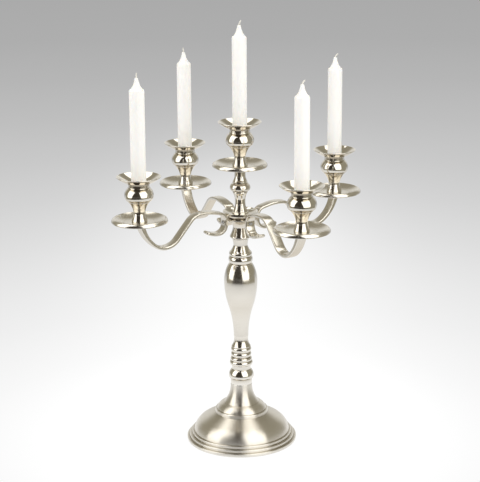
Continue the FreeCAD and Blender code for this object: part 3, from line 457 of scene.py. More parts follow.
@dataclass
class Outline:
    """Half-section of a turned piece, in millimetres, walked with its outside on the right.

    Each step is (radius, height) or (radius, height, sweep), where sweep is the angle of the
    arc that arrives at the step and a positive arc bulges outwards.
    """

    steps: Sequence[tuple[float, ...]]
    softening: float = 0.45
    spacing: float = 0.7
    closed: bool = True
    corner_share: float = 0.42
    corner_points: int = 6
    hold: float = 0.3

    def _dense(self) -> tuple[np.ndarray, list[int]]:
        """Break the arcs up.

        Returns:
            The points, and the places of the corners among them.
        """
        walked: list[Point] = [tuple(self.steps[0][:2])]
        corners = [0]
        turns = list(self.steps[1:]) + ([self.steps[0][:2]] if self.closed else [])
        for step in turns:
            start, end = np.array(walked[-1]), np.array(step[:2])
            sweep = math.radians(step[2]) if len(step) > 2 else 0.0
            chord = end - start
            length = float(np.linalg.norm(chord))
            if length < 1e-6:
                continue
            if sweep:
                left = np.array((-chord[1], chord[0])) / length
                centre = (start + end) / 2 + left * (length / 2 / math.tan(sweep / 2))
                count = max(4, int(math.ceil(length / self.spacing)), int(abs(sweep) / 0.12))
                spoke = start - centre
                for part in range(1, count):
                    angle = sweep * part / count
                    cosine, sine = math.cos(angle), math.sin(angle)
                    walked.append((centre[0] + spoke[0] * cosine - spoke[1] * sine,
                                   centre[1] + spoke[0] * sine + spoke[1] * cosine))
            walked.append(tuple(end))
            corners.append(len(walked) - 1)
        return np.array(walked), corners

    def points(self) -> np.ndarray:
        """Soften every corner with a small curve.

        Returns:
            The finished outline, without its first point repeated at the end.
        """
        walked, corners = self._dense()
        track = Track(walked, self.closed)
        at, total = track.at, track.total
        marks = [track.reach[place] for place in corners]
        if self.closed:
            marks = marks[:-1]
        cuts = []
        for place, mark in enumerate(marks):
            if not self.closed and place in (0, len(marks) - 1):
                cuts.append(0.0)
                continue
            before = mark - marks[place - 1] if place else total - marks[-1]
            after = (marks[place + 1] if place + 1 < len(marks) else total + marks[0]) - mark
            cuts.append(min(self.softening, self.corner_share * before, self.corner_share * after))
        out: list[np.ndarray] = []
        spans = len(marks) if self.closed else len(marks) - 1
        for place in range(len(marks)):
            mark, cut = marks[place], cuts[place]
            if cut > 0.0:
                first, corner, last = at(mark - cut), at(mark), at(mark + cut)
                for part in range(self.corner_points):
                    t = part / (self.corner_points - 1)
                    out.append(first * (1 - t) ** 2 + corner * 2 * t * (1 - t) + last * t * t)
            else:
                out.append(at(mark))
            if place >= spans:
                break
            next_place = (place + 1) % len(marks)
            end = marks[next_place] + (total if next_place <= place else 0.0) - cuts[next_place]
            begin = mark + cut
            room = end - begin
            hold = min(self.hold, room * 0.2)
            laps = np.concatenate((track.reach, track.reach + total))
            inner = [r for r in laps if begin + hold < r < end - hold]
            out.extend(at(r) for r in [begin + hold] + inner + [end - hold])
        kept = [out[0]]
        for point in out[1:]:
            if np.linalg.norm(point - kept[-1]) > 1e-3:
                kept.append(point)
        if self.closed and np.linalg.norm(kept[0] - kept[-1]) < 1e-3:
            kept.pop()
        return np.array(kept)


def relief_of(points: np.ndarray, closed: bool, window: float = 1.1) -> np.ndarray:
    """Measure how far each outline point stands in a hollow or on an edge.

    Args:
        points: the outline in millimetres.
        closed: whether it runs round.
        window: distance each side that is compared, in millimetres.

    Returns:
        Relief from 0 in a deep hollow over 0.5 on an even surface to 1 on a sharp edge.
    """
    loop = np.vstack((points, points[:1])) if closed else points
    track = Track(loop, closed)
    here = track.reach[: len(points)]
    before, after = track.at(here - window), track.at(here + window)
    along = after - before
    size = np.maximum(np.linalg.norm(along, axis=1), 1e-6)
    outward = np.stack((along[:, 1], -along[:, 0]), axis=1) / size[:, None]
    proud = np.sum((points - (before + after) / 2) * outward, axis=1) / window
    return np.clip(0.5 + proud * 1.1, 0.0, 1.0)


def skin(rings: Sequence[np.ndarray], closed: bool = False, inward: bool = False) -> list[Sequence[int]]:
    """Lay faces between neighbouring rings of corners.

    Args:
        rings: corner numbers of each ring; a ring of one corner is a point.
        closed: whether the last ring joins the first.
        inward: whether each face runs the other way round.

    Returns:
        The faces.
    """
    faces: list[Sequence[int]] = []
    for low, high in zip(rings, [*rings[1:], *(rings[:1] if closed else [])]):
        count = max(len(low), len(high))
        for j, k in zip(range(count), [*range(1, count), 0]):
            if len(low) > 1 and len(high) > 1:
                faces.append((low[j], high[j], high[k], low[k]) if inward
                             else (low[j], low[k], high[k], high[j]))
            elif len(high) > 1:
                faces.append((low[0], high[k], high[j]))
            elif len(low) > 1:
                faces.append((low[j], low[k], high[0]))
    return faces


def mesh_object(name: str, verts: np.ndarray, faces: Sequence[Sequence[int]], relief: np.ndarray,
                sharp_deg: float = 32.0) -> bpy.types.Object:
    """Make one smooth-shaded object.

    Args:
        name: its name.
        verts: corner points in metres.
        faces: corner numbers of each face.
        relief: hollow-to-edge measure of each corner.
        sharp_deg: angle above which an edge stays sharp.

    Returns:
        The object, linked to the scene.
    """
    mesh = bpy.data.meshes.new(name)
    mesh.from_pydata(verts.tolist(), [], [[int(corner) for corner in face] for face in faces])
    mesh.validate()
    mesh.shade_smooth()
    mesh.set_sharp_from_angle(angle=math.radians(sharp_deg))
    marked = mesh.attributes.new(RELIEF, "FLOAT", "POINT")
    marked.data.foreach_set("value", relief.astype(np.float32))
    made = bpy.data.objects.new(name, mesh)
    bpy.context.scene.collection.objects.link(made)
    return made


def turned(name: str, outline: Outline, place: Vector, segments: int = 96,
           wobble: Callable[[np.ndarray, np.ndarray], np.ndarray] | None = None) -> bpy.types.Object:
    """Turn an outline round a vertical axis.

    Args:
        name: the piece's name.
        outline: its half-section.
        place: foot of the axis, in metres.
        segments: corners round the axis.
        wobble: optional change of radius in millimetres, from angles and heights.

    Returns:
        The piece, with its origin on the axis.
    """
    points = outline.points()
    relief = relief_of(points, outline.closed)
    angles = np.arange(segments) * (2 * math.pi / segments)
    verts: list[np.ndarray] = []
    rings: list[np.ndarray] = []
    worn: list[float] = []
    for (radius, height), mark in zip(points, relief):
        if radius < 1e-4:
            rings.append(np.array([len(worn)]))
            verts.append(np.array([[0.0, 0.0, height * MM]]))
            worn.append(mark)
            continue
        radii = np.full(segments, radius)
        if wobble is not None:
            radii = radii + wobble(angles, np.full(segments, height))
        rings.append(np.arange(segments) + len(worn))
        verts.append(np.stack((radii * np.cos(angles), radii * np.sin(angles),
                               np.full(segments, height)), axis=1) * MM)
        worn.extend([mark] * segments)
    made = mesh_object(name, np.vstack(verts), skin(rings, outline.closed), np.array(worn))
    made.location = place
    return made


def fit(piece: bpy.types.Object, material: bpy.types.Material, body: str, slot: str, *nodes: str) -> None:
    """Dress a piece and put it in the frame.

    Args:
        piece: the new piece.
        material: its finish.
        body: CAD body that it moves with.
        slot: name of the piece's material slot; not used.
        nodes: CAD nodes that it stands for, if any.
    """
    piece.data.materials.append(material)
    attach(piece, body)
    if nodes:
        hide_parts(*nodes)
    LOG.info("%s: %d faces on %s", piece.name, len(piece.data.polygons), body)


def foot_of(node: str) -> Vector:
    """Return the middle of a node's lowest face, in metres."""
    low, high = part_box(node)
    return Vector(((low.x + high.x) / 2, (low.y + high.y) / 2, low.z))


def arm_turn(number: int) -> Matrix:
    """Return the quarter turns that carry the first arm's side to another arm."""
    return Matrix.Rotation(math.radians(90 * (number - 1)), 4, "Z")


# ---------------------------------------------------------------- column


@dataclass
class BellBase:
    """Hollow two-tier bell on three rim rings."""

    rim: float = 84.0
    rim_step: float = 3.9
    rim_rise: float = 4.7
    rim_ease: float = 0.25
    rim_sweep: float = 25.0
    lower_tier: Point = (73.5, 14.1)
    lower_break: Point = (60.0, 33.2)
    step_ring: Point = (40.5, 43.7)
    step_rise: float = 5.2
    upper_tier: float = 38.0
    upper_break: Point = (27.0, 59.0)
    neck: float = 16.6
    height: float = 89.6
    wall: float = 2.4
    recess: Point = (78.8, 3.2)
    crown: float = 3.6
    bore: float = 4.05

    def build(self, finishes: FinishShelf) -> None:
        """Turn and dress the bell.

        Args:
            finishes: the finishes to draw on.
        """
        step_top = self.step_ring[1] + self.step_rise
        steps: list[tuple[float, ...]] = [(self.recess[0], 0.0), (self.rim - self.rim_ease, 0.0)]
        for ring in range(3):
            radius = self.rim - ring * self.rim_step
            if ring:
                steps.append((radius, ring * self.rim_rise))
            steps.append((radius, (ring + 1) * self.rim_rise, self.rim_sweep))
        steps += [
            self.lower_tier,
            (*self.lower_break, 48.0),
            (self.step_ring[0] + 0.4, self.step_ring[1]),
            (self.step_ring[0] - 0.5, step_top - 0.7),
            (self.step_ring[0] - 1.2, step_top, 50.0),
            (self.upper_tier, step_top),
            (*self.upper_break, 52.0),
            (self.neck, self.height - 2.6, -44.0),
            (self.neck, self.height),
            (self.bore, self.height),
            (self.bore, self.height - self.crown),
            (self.neck - self.wall, self.height - self.crown),
            (self.upper_break[0] - self.wall, self.upper_break[1] - self.wall, 44.0),
            (self.upper_tier - self.wall, step_top - self.wall, -52.0),
            (self.step_ring[0] - self.wall, self.step_ring[1] - self.wall),
            (self.lower_break[0] - self.wall, self.lower_break[1] - self.wall),
            (self.lower_tier[0] - self.wall, self.lower_tier[1], -48.0),
            (self.lower_tier[0] - self.wall, self.recess[1]),
            (self.recess[0], self.recess[1]),
        ]
        bell = turned("spun_bell", Outline(steps, softening=0.6), foot_of("base_bell"), 192)
        fit(bell, finishes.base, "column", "base_plating", "base_bell")


@dataclass
class Column:
    """Knop, rings, baluster, neck ring and spool, stacked on the bell."""

    bore: float = 4.05
    socket: Point = (6.05, 9.4)

    def _stack(self, name: str, node: str, outside: Sequence[tuple[float, ...]],
               finish: bpy.types.Material, softening: float = 0.45) -> None:
        """Turn and dress one piece that the tie rod passes through.

        Args:
            name: the piece's name.
            node: CAD node that it stands for.
            outside: its outside steps, from foot to top.
            finish: its material.
            softening: size of the softened corners in millimetres.
        """
        steps = list(outside) + [(self.bore, outside[-1][1]), (self.bore, outside[0][1])]
        fit(turned(name, Outline(steps, softening), foot_of(node), 112), finish,
            "column", "column_plating", node)

    def knop(self, finishes: FinishShelf) -> None:
        """Turn the collar, flattened ball and neck over the bell."""
        self._stack("base_knop_turned", "base_knop", [
            (16.6, 0.0), (16.6, 8.2), (18.2, 9.0, 33.0), (19.5, 12.0, 46.8), (18.4, 17.6, 22.2),
            (15.4, 22.4, 19.6), (14.6, 23.4, -30.0), (14.3, 30.0),
        ], finishes.hub, 0.35)

    def rings(self, finishes: FinishShelf) -> None:
        """Turn the large ring, bead and two upper rings."""
        groove, ring, bulge, top = 13.7, 14.7, 70.0, 11.8
        steps: list[tuple[float, ...]] = [(16.8, 0.0), (16.8, 6.2, bulge), (15.6, 6.2), (15.6, top, bulge)]
        for _ in range(2):
            steps += [(groove, top), (groove, top + 1.7), (ring, top + 1.7), (ring, top + 8.0, bulge)]
            top += 8.0
        steps += [(groove, top), (groove, 29.5)]
        self._stack("ring_stack_turned", "ring_stack", steps, finishes.column, 0.3)

    def baluster(self, finishes: FinishShelf) -> None:
        """Turn the tall inverted pear."""
        self._stack("baluster_turned", "baluster", [
            (14.8, 0.0), (11.2, 16.5, -48.0), (19.4, 66.5, -18.5), (25.2, 104.3, 17.5),
            (17.6, 131.5, 31.0),
        ], finishes.column, 0.5)

    def neck_ring(self, finishes: FinishShelf) -> None:
        """Turn the round ring between its lands."""
        self._stack("neck_ring_turned", "neck_ring", [
            (15.6, 0.0), (15.6, 1.4), (17.0, 1.4), (17.0, 11.1, 58.0), (15.6, 11.1), (15.6, 12.5),
        ], finishes.hub, 0.4)

    def spool(self, finishes: FinishShelf) -> None:
        """Turn the waisted spool that the branches turn on."""
        socket, floor = self.socket
        steps = [
            (self.bore, 0.0), (16.6, 0.0), (16.6, 5.2, 60.0), (15.6, 6.0), (10.6, 15.6, -24.0),
            (12.3, 25.1, -14.0), (12.4, 26.7), (socket, 26.7), (socket, floor), (self.bore, floor),
        ]
        spool = turned("neck_spool_turned", Outline(steps, 0.4), foot_of("neck_spool"), 96)
        fit(spool, finishes.hub, "column", "column_plating", "neck_spool")

    def build(self, finishes: FinishShelf) -> None:
        """Turn and dress the whole column."""
        for part in (self.knop, self.rings, self.baluster, self.neck_ring, self.spool):
            part(finishes)


# ---------------------------------------------------------------- hub and stem


@dataclass
class Hub:
    """Collar, flange, dish and centre stem that turn with the branches."""

    bore: float = 2.55
    boss_rise: float = 10.9
    boss_radius: float = 3.1
    boss_root: float = 14.0
    boss_reach: float = 24.9

    def _turn(self, name: str, node: str, steps: Sequence[tuple[float, ...]],
              finish: bpy.types.Material, softening: float = 0.4, closed: bool = True) -> None:
        """Turn and dress one piece of the branch unit.

        Args:
            name: the piece's name.
            node: CAD node that it stands for.
            steps: its outline.
            finish: its material.
            softening: size of the softened corners in millimetres.
            closed: whether the outline runs round.
        """
        piece = turned(name, Outline(steps, softening, closed=closed), foot_of(node), 112)
        fit(piece, finish, "branch_unit", "hub_plating", node)

    def collar(self, finishes: FinishShelf) -> None:
        """Turn the spindle and the collar that stands on it."""
        foot, top = 17.5, 34.0
        floor = top - 12.5
        self._turn("hub_collar_turned", "hub_collar", [
            (0.0, 0.0), (5.4, 0.0), (6.0, 0.6), (6.0, foot), (14.9, foot), (15.9, foot + 1.5, 60.0),
            (15.6, foot + 3.2, 20.0), (11.25, top, -24.0), (self.bore, top), (self.bore, floor),
            (0.0, floor),
        ], finishes.hub, closed=False)

    def flange(self, finishes: FinishShelf) -> None:
        """Turn the coved flange and set its four bosses."""
        steps = [(11.25, 0.0), (21.75, 12.6, -62.0), (21.75, 14.3), (19.2, 15.3), (self.bore, 15.3),
                 (self.bore, 0.0)]
        self._turn("hub_flange_turned", "hub_flange", steps, finishes.hub)
        base = foot_of("hub_flange").z + self.boss_rise * MM
        length = self.boss_reach - self.boss_root
        outline = Outline([(0.0, 0.0), (self.boss_radius, 0.0), (self.boss_radius, length), (0.0, length)],
                          0.3, closed=False)
        lying = (Matrix.Translation((self.boss_root * MM, 0, base))
                 @ Matrix.Rotation(math.radians(90), 4, "Y"))
        for number in range(1, ARM_COUNT + 1):
            boss = turned(f"hub_boss_{number}", outline, Vector((0, 0, 0)), 32)
            boss.matrix_world = arm_turn(number) @ lying
            fit(boss, finishes.hub, "branch_unit", "hub_plating")

    def dish(self, finishes: FinishShelf) -> None:
        """Turn the shallow dish."""
        self._turn("hub_dish_turned", "hub_dish", [
            (18.6, 0.0), (26.2, 5.4, 30.0), (26.2, 9.2), (24.8, 9.2), (13.2, 4.0, -34.0),
            (self.bore, 4.0), (self.bore, 0.0),
        ], finishes.hub, 0.35)

    def stem(self, finishes: FinishShelf) -> None:
        """Turn the stem with its ball, up to the centre pan."""
        self._turn("centre_stem_turned", "centre_stem", [
            (12.0, 0.0), (12.0, 4.6, 24.0), (11.1, 4.6), (7.8, 21.4, -30.0), (11.2, 33.7, -30.0),
            (10.9, 35.9), (14.1, 37.4, 36.0), (15.4, 40.4, 46.8), (14.3, 44.9, 27.4), (10.9, 48.2, 37.0),
            (11.0, 50.4), (8.2, 59.0, -30.0), (8.2, 70.6), (self.bore, 70.6), (self.bore, 0.0),
        ], finishes.hub, 0.35)

    def build(self, finishes: FinishShelf) -> None:
        """Turn and dress the hub."""
        for part in (self.collar, self.flange, self.dish, self.stem):
            part(finishes)


# ---------------------------------------------------------------- arms


class Run(Enum):
    """Runs of an arm's middle line, from the drip pan to the scroll's tip."""

    LEAD = "straight start of the leg"
    LEG = "gentle bend of the leg"
    SAG = "low bend"
    RISE = "straight rise"
    SHOULDER = "bend over to level"
    CREST = "long crest"
    REACH = "straight crest"
    SCROLL = "bend down to the back"
    BACK = "flat back on the boss"
    CURL = "bend under to the foot"
    TIP = "scroll's tip"


@dataclass
class StrapArm:
    """S-shaped strap arm with a scroll against the hub."""

    number: int
    seat_reach: float = 168.5
    seat_rise: float = 44.9
    back_reach: float = 27.4
    back_rise: float = 30.4
    spindle: float = 17.5
    lean: float = 18.0
    crown: float = 0.35
    corner: float = 1.25
    seat_thick: float = 2.0
    seat_blend: float = 9.0
    tip_length: float = 4.2
    stride: float = 0.8
    bends: Mapping[Run, Point] = field(default_factory=lambda: {
        Run.LEG: (57.0, 35.5), Run.SAG: (27.4, 85.5), Run.SHOULDER: (25.8, -44.4),
        Run.CREST: (79.0, -17.4), Run.SCROLL: (12.1, -77.2), Run.CURL: (13.2, -90.0),
        Run.TIP: (42.0, -28.5),
    })
    straights: Mapping[Run, float] = field(default_factory=lambda: {Run.LEAD: 6.4, Run.BACK: 6.0})

    def _walk(self, free: Mapping[Run, float]) -> tuple[np.ndarray, np.ndarray, dict[Run, float]]:
        """Follow the runs from the seat.

        Args:
            free: lengths of the straight runs that are not fixed.

        Returns:
            The points, the headings in radians, and the distance at which each run ends.
        """
        lengths = {**self.straights, **free}
        heading = math.radians(self.lean)
        point = np.array((self.seat_reach - self.seat_thick * math.tan(heading),
                          self.seat_rise - self.seat_thick))
        points, headings, ends, reach = [point.copy()], [heading], {}, 0.0
        for run in Run:
            radius, turn = self.bends.get(run, (0.0, 0.0))
            length = lengths[run] if run in lengths else radius * math.radians(abs(turn))
            if run is Run.SCROLL:
                turn = -(math.degrees(heading))
                length = radius * math.radians(abs(turn))
            count = max(1, int(math.ceil(length / self.stride)))
            for _ in range(count):
                heading_step = math.radians(turn) / count
                middle = heading + heading_step / 2
                chord = length / count
                if heading_step:
                    chord = 2 * radius * math.sin(abs(heading_step) / 2)
                point = point + np.array((-math.sin(middle), -math.cos(middle))) * chord
                heading += heading_step
                points.append(point.copy())
                headings.append(heading)
            reach += length
            ends[run] = reach
        return np.array(points), np.array(headings), ends

    def _line(self) -> tuple[np.ndarray, np.ndarray, np.ndarray, dict[Run, float]]:
        """Solve the two free straights so that the scroll's back meets its boss.

        Returns:
            Points, headings, distances along the line, and the end distance of each run.
        """
        free = {Run.RISE: 30.0, Run.REACH: 10.0}
        for _ in range(8):
            points, headings, ends = self._walk(free)
            track = Track(points)
            missing = np.array((self.back_reach, self.back_rise)) - track.at(ends[Run.SCROLL])
            rise, crest = (np.interp(ends[run] - 0.1, track.reach, headings) for run in free)
            basis = np.array(((-math.sin(rise), -math.sin(crest)), (-math.cos(rise), -math.cos(crest))))
            free = dict(zip(free, np.array(list(free.values())) + np.linalg.solve(basis, missing)))
        points, headings, ends = self._walk(free)
        return points, headings, Track(points).reach, ends

    def _section(self, half_width: float, half_thick: float) -> np.ndarray:
        """Draw one crowned, round-cornered section.

        Args:
            half_width: half of its width, in millimetres.
            half_thick: half of its thickness.

        Returns:
            Points (across, through, edge measure) round the section; the edge measure sets a painted
            highlight, lightest on the rounded corners.
        """
        corner = min(self.corner, half_thick * 0.8, half_width * 0.8)
        crown = min(self.crown, half_thick * 0.2)
        out: list[tuple[float, float, float]] = []
        for side in (1.0, -1.0):
            for part in range(11):
                t = 1.0 - 2.0 * part / 10
                across = (half_width - corner) * t
                out.append((across * side, (half_thick - crown * (across / half_width) ** 2) * side, 0.5))
            edge = half_thick - crown * ((half_width - corner) / half_width) ** 2
            inset, level = half_width - corner, edge - corner

            def rounded(middle: float, degrees: float) -> tuple[float, float, float]:
                """Return one point of a rounded corner."""
                angle = math.radians(degrees)
                return (side * (corner * math.cos(angle) - inset),
                        side * (middle + corner * math.sin(angle)), 0.72)

            # Painted highlight: the rounded corners get edge measure 0.72, the sides 0.55, the faces 0.5.
            out += [rounded(level, 90 + 18 * part) for part in range(1, 6)]
            out += [(-side * half_width, side * level * (1.0 - part / 2), 0.55) for part in range(1, 4)]
            out += [rounded(-level, 180 + 18 * part) for part in range(5)]
        return np.array(out)

    def build(self, finishes: FinishShelf) -> None:
        """Sweep and dress the arm.

        Args:
            finishes: the finishes to draw on.
        """
        points, headings, reach, ends = self._line()
        total = reach[-1] + self.seat_thick
        lean = math.tan(math.radians(self.lean))
        spots = [(np.array((self.seat_reach, self.seat_rise)), 0.0, 0.0)]
        for point, heading, walked in zip(points, headings, reach):
            distance = walked + self.seat_thick
            ease = min(1.0, distance / self.seat_blend)
            straight = np.array((self.seat_reach - distance * lean * ease, self.seat_rise - distance))
            spots.append((straight * (1 - ease) + point * ease, heading * ease, distance))
        thick = [(0, 8.6), (7, 8.3), (16, 7.1), (30, 6.0), (ends[Run.LEG] + 12, 5.5),
                 (ends[Run.SAG], 5.2), (ends[Run.RISE], 5.0), (ends[Run.CREST], 4.6),
                 (ends[Run.SCROLL] - 6, 4.6), (ends[Run.SCROLL] + 1, 5.0), (ends[Run.BACK] + 3, 5.0),
                 (ends[Run.CURL], 4.8), (total, 5.4)]
        wide = [(0, 14.6), (14, 15.0), (ends[Run.LEG], 15.6), (ends[Run.RISE], 15.6),
                (ends[Run.CREST], 15.2), (ends[Run.CURL], 15.2), (total, 14.2)]
        verts, worn, rings = [], [], []
        for middle, heading, distance in spots:
            half_thick = float(np.interp(distance, *zip(*thick))) / 2
            half_width = float(np.interp(distance, *zip(*wide))) / 2
            left = (distance - (total - self.tip_length)) / self.tip_length
            if left > 0:
                rounding = math.sqrt(max(0.0, 1.0 - left * left))
                half_thick *= 0.12 + 0.88 * rounding
                half_width *= 0.62 + 0.38 * rounding
            section = self._section(half_width, half_thick)
            out = np.array((math.cos(heading), -math.sin(heading)))
            xz = middle[None, :] + section[:, 1:2] * out[None, :]
            rings.append(np.arange(len(section)) + len(worn))
            verts.append(np.stack((xz[:, 0], section[:, 0], xz[:, 1]), axis=1) * MM)
            worn.extend(section[:, 2])
        faces = [rings[0], *skin(rings, inward=True), rings[-1][::-1]]
        name = f"arm_{self.number}"
        made = mesh_object(f"strap_{name}", np.vstack(verts), faces, np.array(worn), 50.0)
        hub_seat = foot_of("hub_collar").z + self.spindle * MM
        made.matrix_world = arm_turn(self.number) @ Matrix.Translation((0, 0, hub_seat))
        fit(made, finishes.arm, "branch_unit", "arm_plating", name)


# ---------------------------------------------------------------- lights


@dataclass
class CandleLight:
    """One drip pan, cup, candle and wick."""

    number: int
    wick_bend: float = 20.0
    wick_heading: float = 0.0
    wick_thick: float = 1.1
    wick_buried: float = 1.1
    wick_free: float = 7.2
    candle_height: float = 177.8
    bore: float = 2.55
    socket: float = 11.35

    def pan(self, finishes: FinishShelf) -> None:
        """Turn the drip pan."""
        node = f"drip_pan_{self.number}"
        steps = [
            (12.5, 0.0), (13.8, 1.9), (22.0, 1.9), (36.35, 7.4, 22.0), (39.5, 3.7, 40.0), (39.8, 2.6),
            (40.6, 2.6), (41.0, 3.6, 43.6), (40.3, 6.3, 29.0), (37.0, 8.7, 50.0), (22.0, 3.2, -22.0),
            (self.bore, 3.2), (self.bore, 0.0),
        ]
        piece = turned(f"drip_pan_turned_{self.number}", Outline(steps, 0.4), foot_of(node), 128)
        fit(piece, finishes.pan, "branch_unit", "pan_plating", node)

    def cup(self, finishes: FinishShelf) -> None:
        """Turn the cup: foot, waist, ridge, ball, throat and funnel."""
        node = f"candle_cup_{self.number}"
        steps = [
            (0.0, 11.5), (self.bore, 11.5), (self.bore, 0.0), (11.4, 0.0), (11.4, 2.2, 24.0),
            (8.7, 15.9, -30.0), (16.2, 29.6, -30.0), (16.4, 30.6), (18.4, 31.6), (20.4, 34.4, 30.0),
            (21.3, 38.8, 23.2), (20.2, 44.0, 23.8), (15.6, 50.5, 23.0), (15.3, 51.3), (15.3, 55.4),
            (32.4, 65.6, 16.0), (32.4, 66.6), (31.3, 66.6), (13.3, 56.2, -16.0), (self.socket, 54.4),
            (self.socket, 30.6), (0.0, 30.6),
        ]
        piece = turned(f"candle_cup_turned_{self.number}", Outline(steps, 0.4, closed=False),
                       foot_of(node), 112)
        fit(piece, finishes.cup, "branch_unit", "cup_plating", node)

    def candle(self, finishes: FinishShelf) -> None:
        """Mould the candle, with its shoulder and hollow-sided cone."""
        node = f"candle_{self.number}"
        phase = self.number * 1.7
        hole = 1.15
        steps = [
            (hole, 0.0), (10.9, 0.0), (10.9, 158.6), (10.2, 161.0, 26.0), (8.6, 161.9, 22.0),
            (4.6, 168.6, -14.0), (2.4, 177.4, -8.0), (1.6, self.candle_height), (hole, self.candle_height),
        ]

        def unevenness(angles: np.ndarray, heights: np.ndarray) -> np.ndarray:
            """Return the wax's slight unevenness in millimetres."""
            high = np.clip((heights - 60.0) / 90.0, 0.0, 1.0)
            return (0.05 * np.sin(angles * 2 + phase + heights * 0.03)
                    + 0.04 * np.sin(angles * 3 - heights * 0.05 + phase)) * high - 0.02

        piece = turned(f"wax_candle_{self.number}", Outline(steps, 0.5, spacing=0.8), foot_of(node), 72,
                       unevenness)
        fit(piece, finishes.wax, f"candle_body_{self.number}", "wax", node)

    def wick(self, finishes: FinishShelf) -> None:
        """Twist the wick and bend its free end."""
        node = f"wick_{self.number}"
        low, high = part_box(node)
        foot = foot_of(f"candle_{self.number}")
        top, free, around = self.candle_height, self.wick_free, 18
        bend = math.radians(self.wick_bend)
        distances = [*np.linspace(0.0, top - 6.0, 12), *np.linspace(top - 5.0, top + free, 34)]
        angles = np.arange(around) * (2 * math.pi / around)
        verts, rings = [], []
        point, before = np.array((0.0, 0.0)), 0.0
        for distance in distances:
            past = max(0.0, distance - top) / free
            angle = bend * (1.0 - (1.0 - past) ** 2) * (1.0 - 0.25 * past)
            cosine, sine = math.cos(angle), math.sin(angle)
            point = point + np.array((sine, cosine)) * (distance - before)
            before = distance
            size = (self.wick_buried if distance < top else self.wick_thick) * (
                1.0 - 0.22 * max(0.0, past - 0.5) / 0.5)
            lobes = 0.86 + 0.12 * np.cos(3 * (angles - distance * 1.5)) if distance > top - 6 else 0.95
            across = size * lobes * np.cos(angles)
            ring = np.stack((point[0] + across * cosine, size * lobes * np.sin(angles),
                             point[1] - across * sine), axis=1)
            ring[:, 2] = np.minimum(ring[:, 2], (high.z - low.z) / MM)
            rings.append(np.arange(around) + around * len(rings))
            verts.append(ring * MM)
        faces = [rings[0][::-1], *skin(rings), rings[-1]]
        made = mesh_object(f"twisted_wick_{self.number}", np.vstack(verts), faces,
                           np.full(around * len(rings), 0.5), 60.0)
        made.matrix_world = (Matrix.Translation(foot)
                             @ Matrix.Rotation(math.radians(self.wick_heading), 4, "Z"))
        fit(made, finishes.cotton, f"candle_body_{self.number}", "wick_cotton", node)

    def build(self, finishes: FinishShelf) -> None:
        """Build the whole light."""
        for part in (self.pan, self.cup, self.candle, self.wick):
            part(finishes)


# ---------------------------------------------------------------- fixings


@dataclass
class Fixings:
    """CAD pieces that keep their shape and get a finish."""

    steel: Sequence[str] = ("base_plate", "base_washer", "base_nut", "tie_rod", "stem_rod",
                            "arm_screws", "cup_studs")
    brass: Sequence[str] = ("thrust_washer",)
    felt: Sequence[str] = ("base_felt",)

    def build(self, finishes: FinishShelf) -> None:
        """Dress the fixings.

        Args:
            finishes: the finishes to draw on.
        """
        for names, material in ((self.steel, finishes.steel), (self.brass, finishes.brass),
                                (self.felt, finishes.felt)):
            for name in names:
                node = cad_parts[name]
                for holder in node.material_slots:
                    holder.link = "OBJECT"
                    holder.material = material
                if not node.material_slots:
                    node.data.materials.append(material)
                LOG.info("%s keeps its shape in %s", name, material.name)


# ---------------------------------------------------------------- studio


